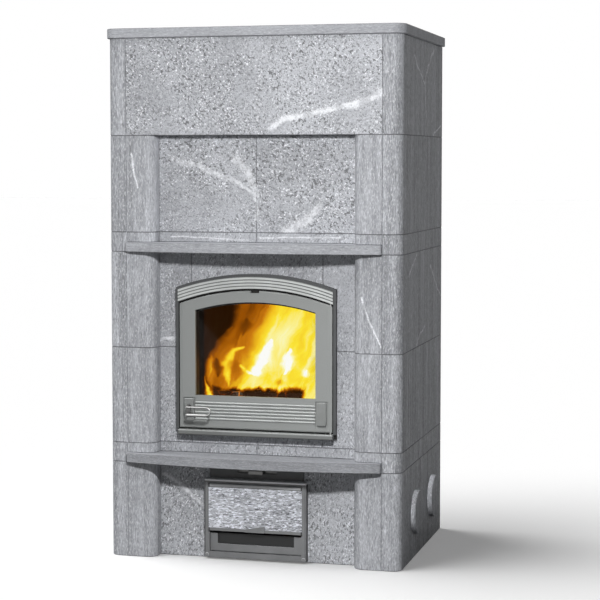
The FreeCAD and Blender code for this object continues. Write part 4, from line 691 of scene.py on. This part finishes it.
def bright_steel(name, colour, rough, axis, *pieces, bands=(), underside_shade=0.0):
    """Steel with fine lines along one axis, a few smudges, bands of another tone and painted shade on the
    faces that look down.
    """
    steel = Finish(name)
    lines = steel.streaks(steel.position, axis, 0.03, 900.0, 2.0, 0.5)
    smudge = steel.noise(steel.position, 35.0, 3.0, 0.6)
    shade = steel.banded(steel.ramp(lines, (0.3, toned(colour, 0.82)), (0.7, colour)), bands)
    shade = steel.mix(steel.spread(smudge, 0.55, 0.75, 0.0, 0.25), shade, toned(colour, 0.6))
    # Painted shade: faces that look down are darkened.
    under = steel.spread(steel.parts(steel.normal)["Z"], 0.1, -0.5, 0.0, underside_shade)
    shade = steel.mix(under, shade, toned(colour, 0.1))
    steel.set(Base_Color=shade, Metallic=1.0, Roughness=steel.spread(smudge, 0.3, 0.7, rough, rough + 0.14))
    steel.bump(lines, 0.05, 0.0004)
    steel.paint(*pieces)


def lay_steel(settings):
    """Handle, pins, spindle and slide in bright steel, collar and clips in dull steel."""
    bright = tuple(settings.steel)
    hub_length = 0.018
    hub_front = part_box("handle_plates")[0].y - hub_length
    # Painted shade: the hub behind the grip is darker, and the grip's underside is darkened too.
    bright_steel("handle_steel", toned(bright, 0.88), 0.38, LEVEL, "door_handle",
                 bands=[("Y", hub_front, toned(bright, 0.3))], underside_shade=0.9)
    bright_steel("slide_steel", toned(bright, 0.32), 0.45, LEVEL, "air_slide")
    bright_steel("pin_steel", toned(bright, 0.8), 0.28, UPRIGHT, "hinge_pins", "latch_spindle", "flap_pins")
    bright_steel("dull_steel", toned(bright, 0.5), 0.42, LEVEL, "flue_collar", "glass_clips")


def lay_glass():
    """Clear ceramic glass with a breath of soot towards its sides and its lower edge."""
    glass = Finish("ceramic_glass")
    low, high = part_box("door_glass")
    middle = (low + high) / 2
    seen = glass.parts(glass.place(glass.position, tuple(-middle)))
    sides = glass.spread(glass.size(seen["X"]), 0.80 * high.x, high.x)
    lower = glass.spread(seen["Z"], 0.9 * (low.z - middle.z), low.z - middle.z)
    haze = glass.noise(glass.position, 9.0, 4.0, 0.65, 0.5)
    edge = glass.times(glass.larger(sides, lower), glass.spread(haze, 0.3, 0.7))
    glass.set(Base_Color=glass.mix(haze, (0.018, 0.016, 0.014), (0.05, 0.042, 0.035)), Roughness=0.06,
              Specular_IOR_Level=0.12, Alpha=glass.spread(edge, 0.0, 1.0, 0.02, 0.14))
    glass.paint("door_glass")


# Meshes


def put(name, data):
    """A new object in the scene."""
    thing = bpy.data.objects.new(name, data)
    bpy.context.scene.collection.objects.link(thing)
    return thing


def new_piece(name, mesh, body):
    """Links a finished mesh as a piece of the oven that rides on a body."""
    piece = put(name, mesh)
    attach(piece, body)
    return piece


def finished(build, name, *materials):
    """The mesh that was built, with its materials."""
    mesh = bpy.data.meshes.new(name)
    build.to_mesh(mesh)
    build.free()
    for material in materials:
        mesh.materials.append(material)
    return mesh


def level_patch(name, left, right, front, back, height, *materials):
    """One level rectangle."""
    build = bmesh.new()
    corners = ((left, front), (right, front), (right, back), (left, back))
    build.faces.new([build.verts.new((x, y, height)) for x, y in corners])
    return finished(build, name, *materials)


def skin(build, rows, closed):
    """Smooth faces between rows of points; closed rows join their ends."""
    count = len(rows[0])
    for row, following in zip(rows, rows[1:]):
        for place in range(count if closed else count - 1):
            beside = (place + 1) % count
            build.faces.new((row[place], row[beside], following[beside], following[place])).smooth = True


def grown(name, source, tree, inputs, material):
    """The plain mesh that a node tree makes out of a curve or mesh."""
    thing = put(source.name, source)
    modifier = thing.modifiers.new("Make", "NODES")
    modifier.node_group = tree
    for item in tree.interface.items_tree:
        if item.in_out == "INPUT" and item.name in inputs:
            modifier[item.identifier] = inputs[item.name]
    graph = bpy.context.evaluated_depsgraph_get()
    mesh = bpy.data.meshes.new_from_object(thing.evaluated_get(graph))
    thing.modifiers.clear()
    bpy.data.objects.remove(thing)
    if not mesh.polygons:
        raise RuntimeError(f"{name} came out empty")
    mesh.name = name
    mesh.materials.clear()
    mesh.materials.append(material)
    return mesh


# Seals


def arched_loop(node, width, centre, y):
    """Points along the middle of an arched seal, from its lower left corner to the right and back."""
    low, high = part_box(node)
    steps = 36
    half = high.x - width / 2
    radius = high.z - width / 2 - centre
    reach = math.asin(half / radius)
    points = [Vector((x, y, low.z + width / 2)) for x in (-half, half)]
    for step in range(steps + 1):
        turn = reach - 2 * reach * step / steps
        points.append(Vector((radius * math.sin(turn), y, centre + radius * math.cos(turn))))
    return points


def woven_rope(colour):
    """Charcoal glass fibre, with yarns along each strand and paler worn fibres."""
    rope = Finish("rope_fibre")
    yarn = rope.noise(rope.position, 1500.0, 2.0, 0.6)
    worn = rope.noise(rope.position, 60.0, 3.0, 0.6)
    shade = rope.ramp(yarn, (0.3, toned(colour, 0.55)), (0.55, colour), (0.75, toned(colour, 2.4)))
    shade = rope.mix(rope.spread(worn, 0.55, 0.8, 0.0, 0.5), shade, (0.16, 0.14, 0.12))
    rope.set(Base_Color=shade, Roughness=0.9, Specular_IOR_Level=0.2)
    rope.bump(yarn, 0.5, 0.0006)
    return rope.material


def plait_tree():
    """Geometry nodes that turn a closed path into a flat plait of three strands."""
    lengths = dict.fromkeys(("Corner", "Step", "Plait", "Across", "Deep", "Strand"), "Float")
    shape = {"Geometry": "Geometry"}
    tree = new_group("Plait", "GeometryNodeTree", {**shape, **lengths}, shape)
    make = Nodes(tree)
    given = make.add("NodeGroupInput").outputs
    strands = 3
    corner = {"Radius": given["Corner"], "Limit Radius": True, "Count": 6}
    rounded = make.add("GeometryNodeFilletCurve", {"Curve": given["Geometry"], **corner}, mode="POLY")
    path = make.add("GeometryNodeResampleCurve", {"Curve": rounded, "Length": given["Step"]}, mode="LENGTH")
    copies = make.add("GeometryNodeDuplicateElements", {"Geometry": path, "Amount": strands}, domain="SPLINE")
    length = make.add("GeometryNodeSplineLength").outputs["Length"]
    turns = make.math("ROUND", make.math("DIVIDE", length, given["Plait"]))
    factor = make.add("GeometryNodeSplineParameter").outputs["Factor"]
    lead = make.math("DIVIDE", copies.outputs["Duplicate Index"], float(strands))
    angle = make.times(make.plus(make.times(turns, factor), lead), 2 * math.pi)
    across = make.times(make.math("SINE", angle), given["Across"])
    deep = make.times(make.math("SINE", make.times(angle, 2.0)), given["Deep"])
    tangent = make.add("GeometryNodeInputTangent").outputs["Tangent"]
    side = make.vector("CROSS_PRODUCT", tangent, (0.0, 1.0, 0.0))
    push = make.vector("ADD", make.scaled(side, across), make.add("ShaderNodeCombineXYZ", {"Y": deep}))
    woven = make.add("GeometryNodeSetPosition", {"Geometry": copies, "Offset": push})
    circle = {"Resolution": 7, "Radius": given["Strand"]}
    ring = make.add("GeometryNodeCurvePrimitiveCircle", circle, mode="RADIUS")
    tube = make.add("GeometryNodeCurveToMesh", {"Curve": woven, "Profile Curve": ring})
    smooth = make.add("GeometryNodeSetShadeSmooth", {"Geometry": tube})
    make.add("NodeGroupOutput", {"Geometry": smooth})
    return tree


def make_rope(settings):
    """The plaited rope that lies on the frame's flange, in the place of its plain solid."""
    low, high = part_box("frame_seal")
    thick = high.y - low.y
    strand = 0.33 * thick
    corner = 0.008
    steps = 9
    points = arched_loop("frame_seal", settings.seal_width, settings.arch_centre, (low.y + high.y) / 2)
    curve = bpy.data.curves.new("rope_path", "CURVE")
    curve.dimensions = "3D"
    spline = curve.splines.new("POLY")
    spline.points.add(len(points) - 1)
    for point, place in zip(spline.points, points):
        point.co = (*place, 1.0)
    spline.use_cyclic_u = True
    inputs = {"Corner": corner, "Step": settings.plait / steps, "Plait": settings.plait, "Strand": strand,
              "Across": settings.seal_width / 2 - strand, "Deep": thick / 2 - strand}
    mesh = grown("frame_rope", curve, plait_tree(), inputs, woven_rope(tuple(settings.colour)))
    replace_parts(new_piece("frame_rope", mesh, "stove"), "frame_seal")


def tape_fibre(colour):
    """A flat woven tape, with yarns crossing along the piece's own map."""
    tape = Finish("tape_fibre")
    seen = tape.parts(tape.uv)
    warp, weft = (tape.math("SINE", tape.times(seen[axis], 2 * math.pi)) for axis in "XY")
    weave = tape.spread(tape.times(warp, weft), -1.0, 1.0)
    fuzz = tape.noise(tape.position, 900.0, 3.0, 0.6)
    shade = tape.mix(weave, toned(colour, 0.5), toned(colour, 2.0))
    shade = tape.mix(tape.spread(fuzz, 0.5, 0.8, 0.0, 0.4), shade, (0.18, 0.17, 0.15))
    tape.set(Base_Color=shade, Roughness=0.92, Specular_IOR_Level=0.2)
    tape.bump(weave, 0.4, 0.0004)
    return tape.material


def make_tape(settings):
    """The crowned tape under the glass, in the place of its plain solid."""
    low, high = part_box("glass_seal")
    width = settings.tape_width
    middle = width / 2
    thick = high.y - low.y
    pitch = 0.0016
    path = arched_loop("glass_seal", width, settings.arch_centre, high.y)
    half = [(1.0, 0.0), (0.98, 0.45), (0.6, 0.85)]
    crown = [(-across, deep) for across, deep in half] + [(0.0, 1.0)] + half[::-1]
    section = [(across * middle, -deep * thick) for across, deep in crown]
    build = bmesh.new()
    lay = build.loops.layers.uv.new("UVMap")
    rings = []
    lengths = [0.0]
    for index, point in enumerate(path):
        after = path[(index + 1) % len(path)]
        into = (point - path[index - 1]).normalized()
        out = (after - point).normalized()
        side = (into + out).normalized().cross(Vector((0.0, 1.0, 0.0)))
        stretch = 1.0 / max(0.4, math.sqrt((1.0 + into.dot(out)) / 2.0))
        rings.append([build.verts.new(point + side * across * stretch + Vector((0.0, deep, 0.0)))
                      for across, deep in section])
        lengths.append(lengths[-1] + (after - point).length)
    count = len(section)
    for index, ring in enumerate(rings):
        following = rings[(index + 1) % len(rings)]
        for place in range(count):
            beside = (place + 1) % count
            face = build.faces.new((ring[place], ring[beside], following[beside], following[place]))
            face.smooth = place < count - 1
            ends = ((index, place), (index, place + 1), (index + 1, place + 1), (index + 1, place))
            for loop, (step, over) in zip(face.loops, ends):
                loop[lay].uv = (lengths[step] / pitch, over * width / (count - 1) / pitch)
    bmesh.ops.recalc_face_normals(build, faces=build.faces)
    mesh = finished(build, "glass_tape", tape_fibre(tuple(settings.colour)))
    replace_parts(new_piece("glass_tape", mesh, "fire_door"), "glass_seal")


# Fire


BLACK = (0.0, 0.0, 0.0)


def charred_wood():
    """Burning wood: blocky black char, ash on its edges and a glow deep in its cracks."""
    wood = Finish("charred_wood")
    cracks = wood.cracks(wood.place(wood.warped(wood.position, 40.0, 0.01), stretch=along(LEVEL, 0.45)), 60.0)
    fibre = wood.streaks(wood.position, LEVEL, 0.06, 320.0, 3.0, 0.6)
    patch = wood.noise(wood.position, 18.0, 3.0, 0.6)
    char = wood.ramp(fibre, (0.3, (0.006, 0.004, 0.003)), (0.6, (0.024, 0.014, 0.009)),
                     (0.8, (0.06, 0.035, 0.02)))
    ash = wood.times(wood.spread(patch, 0.58, 0.72), wood.spread(fibre, 0.35, 0.6))
    colour = wood.mix(wood.times(ash, 0.5), char, (0.20, 0.18, 0.16))
    glow = wood.times(wood.spread(cracks, 0.01, 0.07, 1.0, 0.0), wood.spread(patch, 0.50, 0.70))
    hot = wood.ramp(glow, (0.0, BLACK), (0.5, (0.30, 0.05, 0.0)), (1.0, (1.0, 0.36, 0.03)))
    wood.set(Base_Color=colour, Roughness=0.95, Specular_IOR_Level=0.1,
             Emission_Color=hot, Emission_Strength=0.8)
    wood.bump(wood.spread(cracks, 0.0, 0.14), 0.8, 0.004)
    return wood.material


def split_log(build, middle, length, radius, roll, seed):
    """One split log along X: rough bark round most of it, a flatter split side and sawn ends."""
    steps = 42
    around = 22
    rings = []
    for step in range(steps + 1):
        x = middle.x + length * (step / steps - 0.5)
        ring = []
        for place in range(around):
            turn = 2 * math.pi * place / around
            flat = max(0.0, math.cos(turn - math.pi)) ** 2
            spot = Vector((6.0 * x, 1.4 * math.cos(turn), 1.4 * math.sin(turn)))
            bark = 1.0 + 0.10 * noise.noise(spot + Vector((seed, 0, 0))) + 0.05 * noise.noise(4.0 * spot)
            reach = radius * (1.0 - 0.34 * flat) * bark
            y = middle.y + reach * math.cos(turn + roll)
            z = middle.z + reach * math.sin(turn + roll)
            ring.append(build.verts.new((x, y, z)))
        rings.append(ring)
    skin(build, rings, True)
    for ring, reach in ((rings[0], -0.5), (rings[-1], 0.5)):
        heart = build.verts.new((middle.x + length * reach * 1.01, middle.y, middle.z))
        for place in range(around):
            build.faces.new((heart, ring[place], ring[(place + 1) % around]))


def make_logs(settings):
    """Split logs stacked on the grate, the upper one showing above the window's lower edge."""
    radius = settings.log_radius
    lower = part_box("firebox_floor")[1].z + 0.97 * radius
    upper = lower + 1.72 * radius
    across = 2.2 * radius
    front = -0.1675
    build = bmesh.new()

    def log(x, back, z, length, size, roll, seed):
        """One log, its place in the depth counted in log widths from the one that shows."""
        place = Vector((x, front + back * across, z))
        split_log(build, place, length, size * radius, math.radians(roll), seed)

    log(-0.055, -0.5, lower, 0.30, 1.0, 90, 1.0)
    log(-0.015, 0.5, lower, 0.33, 1.0, 90, 2.0)
    log(0.03, 1.5, lower, 0.31, 1.0, 90, 3.0)
    log(-0.0427, 0.0, upper, settings.log_length, 0.95, 250, 4.0)
    log(0.045, 1.0, upper, 0.30, 0.9, 262, 5.0)
    bmesh.ops.recalc_face_normals(build, faces=build.faces)
    new_piece("log_pile", finished(build, "log_pile", charred_wood()), "stove")


def ember_coal():
    """Coals: grey ash over a red to orange heart."""
    coal = Finish("ember_coal")
    patch = coal.noise(coal.position, 45.0, 3.0, 0.6)
    ash = coal.ramp(patch, (0.35, (0.02, 0.016, 0.014)), (0.6, (0.10, 0.09, 0.085)),
                    (0.8, (0.30, 0.28, 0.27)))
    open_cracks = coal.spread(coal.cracks(coal.position, 110.0), 0.02, 0.16, 1.0, 0.1)
    glow = coal.times(open_cracks, coal.spread(patch, 0.65, 0.4))
    hot = coal.ramp(glow, (0.0, BLACK), (0.4, (0.5, 0.06, 0.0)), (1.0, (1.0, 0.42, 0.04)))
    coal.set(Base_Color=ash, Roughness=0.95, Specular_IOR_Level=0.1,
             Emission_Color=hot, Emission_Strength=1.0)
    coal.bump(patch, 0.6, 0.003)
    return coal.material


def coal_tree():
    """Geometry nodes that strew coals over a patch of floor."""
    numbers = {"Count": "Int", "Seed": "Int", "Size": "Float", "Area": "Float"}
    shape = {"Geometry": "Geometry"}
    tree = new_group("Coals", "GeometryNodeTree", {**shape, **numbers}, shape)
    make = Nodes(tree)
    given = make.add("NodeGroupInput").outputs

    def drawn_lots(low, high):
        inputs = {"Min": low, "Max": high, "Seed": given["Seed"]}
        return make.add("FunctionNodeRandomValue", inputs, data_type="FLOAT_VECTOR")

    density = make.math("DIVIDE", given["Count"], given["Area"])
    points = make.add("GeometryNodeDistributePointsOnFaces",
                      {"Mesh": given["Geometry"], "Density": density, "Seed": given["Seed"]},
                      distribute_method="RANDOM")
    ball = make.add("GeometryNodeMeshIcoSphere", {"Radius": given["Size"], "Subdivisions": 2})
    dent = make.warped(make.add("GeometryNodeInputPosition").outputs["Position"], 90.0, 0.012, 1.0)
    lump = make.add("GeometryNodeSetPosition", {"Geometry": ball, "Position": dent})
    tilt = drawn_lots((0.0, 0.0, 0.0), (6.28, 6.28, 6.28))
    grow = drawn_lots((0.6, 0.6, 0.5), (1.6, 1.2, 1.1))
    strewn = make.add("GeometryNodeInstanceOnPoints",
                      {"Points": points, "Instance": lump, "Rotation": tilt, "Scale": grow})
    real = make.add("GeometryNodeRealizeInstances", {"Geometry": strewn})
    make.add("NodeGroupOutput", {"Geometry": real})
    return tree


def make_embers(settings):
    """A bed of coals on the grate and the floor round it, under the logs."""
    low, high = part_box("grate")
    beside = 0.05
    before = 0.07
    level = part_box("firebox_floor")[1].z + 1.75 * settings.coal_size
    patch = level_patch("ember_patch", low.x - beside, high.x + beside, low.y - before, high.y, level)
    area = (high.x - low.x + 2 * beside) * (high.y - low.y + before)
    inputs = {"Count": settings.coal_count, "Seed": settings.seed, "Size": settings.coal_size, "Area": area}
    mesh = grown("ember_bed", patch, coal_tree(), inputs, ember_coal())
    new_piece("ember_bed", mesh, "stove")


def flame_light(name, heat_of, left, right, low, high):
    """Light of a sheet of flame; the heat is drawn on a square that is stretched between the four edges."""
    fire = Finish(name)
    stretch = (1.0 / (right - left), 0.0, 1.0 / (high - low))
    move = (-left * stretch[0], 0.0, -low * stretch[2])
    heat = heat_of(fire, fire.place(fire.position, move, stretch))
    colour = fire.ramp(
        heat,
        (0.0, (0.30, 0.07, 0.0)),
        (0.32, (0.42, 0.11, 0.001)),
        (0.50, (0.62, 0.21, 0.006)),
        (0.64, (0.92, 0.55, 0.015)),
        (0.78, (1.0, 0.80, 0.04)),
        (0.90, (1.0, 0.94, 0.40)),
        (1.0, (1.0, 1.0, 0.96)),
    )
    glow = fire.add("ShaderNodeEmission", {"Color": colour, "Strength": 1.0})
    clear = fire.add("ShaderNodeBsdfTransparent")
    fade = fire.spread(heat, 0.0, 0.50, 0.05, 1.0)
    fire.shine(fire.add("ShaderNodeMixShader", {0: fade, 1: clear, 2: glow}))
    return fire.material


def main_heat(fire, spot):
    """Heat of the great fire: strands curl up at the left of a yellow body with white cores."""
    swayed = fire.warped(fire.warped(fire.warped(spot, 2.0, 0.08), 6.0, 0.07), 15.0, 0.03)
    across, _, up = fire.parts(swayed)
    lean = fire.minus(across, fire.times(up, 0.28))
    sweep = fire.add("ShaderNodeCombineXYZ", {"X": fire.times(lean, 8.0), "Z": fire.times(up, 1.8)})
    streak = fire.noise(sweep, 1.0, 5.0, 0.58, 0.9)
    flicker = fire.minus(streak, 0.5)
    body = fire.spread(fire.minus(across, fire.spread(up, 0.25, 0.95, 0.07, 0.33)), -0.03, 0.07)
    heat = fire.plus(fire.spread(lean, 0.18, 0.46, 0.40, 0.82), fire.spread(up, 0.6, 1.0, 0.0, -0.10))
    heat = fire.plus(heat, fire.times(flicker, 0.5))

    def strand(gain, width, *points):
        """Makes a soft tapered band through the points hotter, or cooler where the gain is negative."""
        ends = [Vector((share, 0.0, rise)) for share, rise in points]
        path = []
        for start, end in zip(ends, ends[1:]):
            path += [start, (start + end) / 2]
        path.append(ends[-1])
        swell = [math.sin(math.pi * step / (len(path) - 1)) for step in range(len(path))]
        widths = [width * (0.3 + 0.9 * share) for share in swell]
        mask = 0.0
        for start, end, first, last in zip(path, path[1:], widths, widths[1:]):
            mask = fire.larger(mask, fire.vein(swayed, tuple(start), tuple(end), first, last))
        mask = fire.times(mask, fire.spread(streak, 0.3, 0.55, 0.55, 1.0))
        return fire.plus(heat, fire.times(mask, gain))

    # The white core, the curl at its foot and the smaller cores beside it
    heat = strand(0.30, 0.09, (0.48, 0.22), (0.53, 0.30), (0.555, 0.42), (0.63, 0.60))
    heat = strand(0.25, 0.03, (0.37, 0.34), (0.40, 0.27), (0.48, 0.225))
    heat = strand(0.34, 0.075, (0.76, 0.26), (0.77, 0.36), (0.79, 0.50))
    heat = strand(0.20, 0.05, (0.93, 0.24), (0.94, 0.30))
    # The arc at the far left and the two strands inside it
    heat = strand(0.20, 0.05, (0.07, 0.10), (0.08, 0.34), (0.115, 0.50), (0.22, 0.66), (0.29, 0.73))
    heat = strand(0.26, 0.045, (0.115, 0.10), (0.11, 0.24), (0.14, 0.44))
    heat = strand(0.32, 0.05, (0.276, 0.10), (0.244, 0.22), (0.25, 0.36), (0.315, 0.47), (0.40, 0.52))
    # Cooler brown slits
    heat = strand(-0.22, 0.05, (0.18, 0.22), (0.18, 0.40))
    heat = strand(-0.10, 0.08, (0.33, 0.16), (0.345, 0.38))
    heat = strand(-0.28, 0.05, (0.70, 0.14), (0.72, 0.20))
    heat = strand(-0.16, 0.07, (0.40, 0.66), (0.42, 0.82))
    # The log shows below the fire, and flames reach down past both its ends
    ends = fire.spread(fire.size(fire.minus(across, 0.515)), 0.36, 0.41)
    ragged = fire.plus(up, fire.times(flicker, 0.16))
    above = fire.larger(fire.spread(ragged, 0.05, 0.12), ends)
    return fire.math("MULTIPLY", fire.times(heat, body), above, clamp=True)


def small_heat(fire, spot):
    """Heat of a low tongue of flame that licks up to the left from the end of a log."""
    across, _, up = fire.parts(fire.warped(spot, 3.0, 0.2))
    middle = fire.spread(up, 0.0, 1.0, 0.38, 0.14)
    half = fire.spread(up, -0.2, 1.0, 0.40, 0.05)
    gap = fire.math("DIVIDE", fire.size(fire.minus(across, middle)), half)
    heat = fire.times(fire.spread(gap, 1.0, 0.0), fire.spread(up, 1.0, 0.1, 0.5, 1.0))
    streak = fire.noise(spot, 5.0, 3.0, 0.6)
    return fire.math("MULTIPLY", heat, fire.spread(streak, 0.2, 0.7, 0.75, 1.0), clamp=True)


def flame_sheet(name, left, right, low, high, y, wave, material):
    """A gently waving upright sheet of flame as one piece."""
    columns = 28
    rows = 20
    build = bmesh.new()
    grid = []
    for row in range(rows + 1):
        up = row / rows
        line = []
        for column in range(columns + 1):
            across = column / columns
            deep = wave * (math.sin(5.0 * across + 2.0 * up) + 0.5 * math.sin(9.0 * across - 4.0 * up)) * up
            line.append(build.verts.new((left + across * (right - left), y + deep, low + up * (high - low))))
        grid.append(line)
    skin(build, grid, False)
    new_piece(name, finished(build, name, material), "stove")


def make_flames(settings):
    """A great sheet of flame that rises in front of the logs, and a low flame at their left end."""
    clearance = 0.062
    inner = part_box("firebox_side_walls")[1].x - clearance
    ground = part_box("firebox_floor")[1].z
    depth = settings.flame_depth
    # The part of the great sheet that the camera sees through the window
    seen = (-0.2668, 0.1935, 0.582, 0.9321)
    great = flame_light("great_flame", main_heat, *seen)
    flame_sheet("flames", -inner, inner, ground + 0.10, ground + 0.54, depth, 0.008, great)
    edges = (-inner, -0.150, ground + 0.11, ground + 0.20)
    small = flame_light("small_flame", small_heat, *edges)
    flame_sheet("flame_left", *edges, depth - 0.025, 0.005, small)


# Stage


WHITE = (1.0, 1.0, 1.0, 1.0)


def seen_rays(make, strength):
    """The strength for rays that show the stage itself, and nothing for those that only light the oven."""
    path = make.add("ShaderNodeLightPath").outputs
    seen = make.larger(path["Is Camera Ray"], path["Is Glossy Ray"])
    return make.times(make.larger(seen, path["Is Transmission Ray"]), strength)


def make_floor(settings):
    """A wide pale floor: white to the camera where nothing shades it, darker for the light it throws back."""
    reach = 60.0
    pale = Finish("pale_floor")
    tone = pale.mix(seen_rays(pale, 1.0), (settings.floor,) * 3, (settings.seen_floor,) * 3)
    matt = pale.add("ShaderNodeBsdfDiffuse", {"Color": tone})
    lift = pale.add("ShaderNodeEmission", {"Color": WHITE, "Strength": seen_rays(pale, settings.lift)})
    pale.shine(pale.add("ShaderNodeAddShader", {0: matt, 1: lift}))
    floor = put("floor", level_patch("floor", -reach, reach, -reach, reach, 0.0, pale.material))
    return floor


def make_key(settings, floor):
    """A soft lamp in front, without loss over distance and kept off the floor."""
    lamp = bpy.data.lights.new("key_light", "POINT")
    lamp.shadow_soft_size = settings.key_size / 2
    lamp.energy = settings.key
    lamp.use_nodes = True
    beam = Nodes(lamp.node_tree)
    even = beam.add("ShaderNodeLightFalloff", {"Strength": 1.0}).outputs["Constant"]
    beam.feed(lamp.node_tree.nodes["Emission"].inputs["Strength"], even)
    key = put("key_light", lamp)
    key.location = settings.key_place
    flagged = bpy.data.collections.new("flagged_off")
    flagged.objects.link(floor)
    key.light_linking.receiver_collection = flagged
    flagged.collection_objects[0].light_linking.link_state = "EXCLUDE"


def make_fill(settings):
    """A very soft sun from the left, and even light all round."""
    width, height, heading = (math.radians(angle) for angle in (55.0, 57.0, -78.0))
    sun = bpy.data.lights.new("side_light", "SUN")
    sun.energy = settings.fill
    sun.angle = width
    put("side_light", sun).rotation_euler = (math.pi / 2 - height, 0.0, heading)
    world = bpy.data.worlds.new("studio")
    bpy.context.scene.world = world
    world.use_nodes = True
    make = Nodes(world.node_tree)
    sky = world.node_tree.nodes["Background"]
    make.feed(sky.inputs["Color"], WHITE)
    lift = seen_rays(make, 1.0 - settings.ambient)
    make.feed(sky.inputs["Strength"], make.plus(lift, settings.ambient))


def make_camera(settings):
    """The camera at the photograph's place."""
    view = bpy.data.cameras.new("camera")
    view.lens = settings.lens
    view.sensor_width = 36.0
    view.shift_y = -0.04
    camera = put("camera", view)
    camera.location = settings.camera
    camera.rotation_euler = (math.pi / 2 - settings.dip, 0.0, settings.turn)
    bpy.context.scene.camera = camera
    bpy.context.scene.view_settings.view_transform = "Standard"


# Operators


class OVEN_OT_casing_stones(bpy.types.Operator):
    """Lay the striated stone on slabs, pilasters, shelves and plugs"""

    bl_idname = "oven.casing_stones"
    bl_label = "Casing Stones"

    def execute(self, context):
        lay_casing(context.scene.oven_stone)
        return {"FINISHED"}


class OVEN_OT_panel_stones(bpy.types.Operator):
    """Lay the flecked and veined stone on the frieze and the panels"""

    bl_idname = "oven.panel_stones"
    bl_label = "Panel Stones"

    def execute(self, context):
        lay_panels(context.scene.oven_stone)
        lay_flap_stone(context.scene.oven_stone)
        return {"FINISHED"}


class OVEN_OT_core_stones(bpy.types.Operator):
    """Lay the sooty stone inside the oven"""

    bl_idname = "oven.core_stones"
    bl_label = "Core Stones"

    def execute(self, context):
        lay_core(context.scene.oven_stone)
        return {"FINISHED"}


class OVEN_OT_metal(bpy.types.Operator):
    """Paint the castings and polish the steel fittings"""

    bl_idname = "oven.metal"
    bl_label = "Iron and Steel"

    def execute(self, context):
        lay_door_iron(context.scene.oven_metal)
        lay_ash_iron(context.scene.oven_metal)
        lay_steel(context.scene.oven_metal)
        return {"FINISHED"}


class OVEN_OT_glass(bpy.types.Operator):
    """Make the door's glass clear, with a little soot at its edge"""

    bl_idname = "oven.glass"
    bl_label = "Door Glass"

    def execute(self, context):
        lay_glass()
        return {"FINISHED"}


class OVEN_OT_seals(bpy.types.Operator):
    """Plait the rope on the frame and weave the tape under the glass"""

    bl_idname = "oven.seals"
    bl_label = "Seals"

    def execute(self, context):
        make_rope(context.scene.oven_seal)
        make_tape(context.scene.oven_seal)
        return {"FINISHED"}


class OVEN_OT_logs(bpy.types.Operator):
    """Stack split logs on a bed of coals"""

    bl_idname = "oven.logs"
    bl_label = "Logs and Embers"

    def execute(self, context):
        make_logs(context.scene.oven_fire)
        make_embers(context.scene.oven_fire)
        return {"FINISHED"}


class OVEN_OT_flames(bpy.types.Operator):
    """Raise the flames behind the glass"""

    bl_idname = "oven.flames"
    bl_label = "Flames"

    def execute(self, context):
        make_flames(context.scene.oven_fire)
        return {"FINISHED"}


class OVEN_OT_stage(bpy.types.Operator):
    """Set up floor, light and camera"""

    bl_idname = "oven.stage"
    bl_label = "Stage"

    def execute(self, context):
        floor = make_floor(context.scene.oven_stage)
        make_key(context.scene.oven_stage, floor)
        make_fill(context.scene.oven_stage)
        make_camera(context.scene.oven_stage)
        return {"FINISHED"}


OPERATORS = (
    OVEN_OT_stage,
    OVEN_OT_casing_stones,
    OVEN_OT_panel_stones,
    OVEN_OT_core_stones,
    OVEN_OT_metal,
    OVEN_OT_glass,
    OVEN_OT_seals,
    OVEN_OT_logs,
    OVEN_OT_flames,
)
SETTINGS = {
    "oven_stone": StoneSettings,
    "oven_metal": MetalSettings,
    "oven_seal": SealSettings,
    "oven_fire": FireSettings,
    "oven_stage": StageSettings,
}


class OVEN_PT_sidebar(bpy.types.Panel):
    """Lists the oven's settings and the steps that finish it"""

    bl_label = "Soapstone Oven"
    bl_space_type = "VIEW_3D"
    bl_region_type = "UI"
    bl_category = "Oven"

    def draw(self, context):
        for key, group in SETTINGS.items():
            column = self.layout.box().column()
            for name in group.__annotations__:
                column.prop(getattr(context.scene, key), name)
        for step in OPERATORS:
            self.layout.operator(step.bl_idname)


def register():
    """Makes the settings, operators and panel known to Blender."""
    for group in (*SETTINGS.values(), *OPERATORS, OVEN_PT_sidebar):
        bpy.utils.register_class(group)
    for key, group in SETTINGS.items():
        setattr(bpy.types.Scene, key, bpy.props.PointerProperty(type=group))


def unregister():
    """Takes them away again."""
    for key in SETTINGS:
        delattr(bpy.types.Scene, key)
    for group in reversed((*SETTINGS.values(), *OPERATORS, OVEN_PT_sidebar)):
        bpy.utils.unregister_class(group)


def main():
    """Runs every step."""
    register()
    for step in OPERATORS:
        family, word = step.bl_idname.split(".")
        getattr(getattr(bpy.ops, family), word)()


if __name__ == "__main__":
    main()
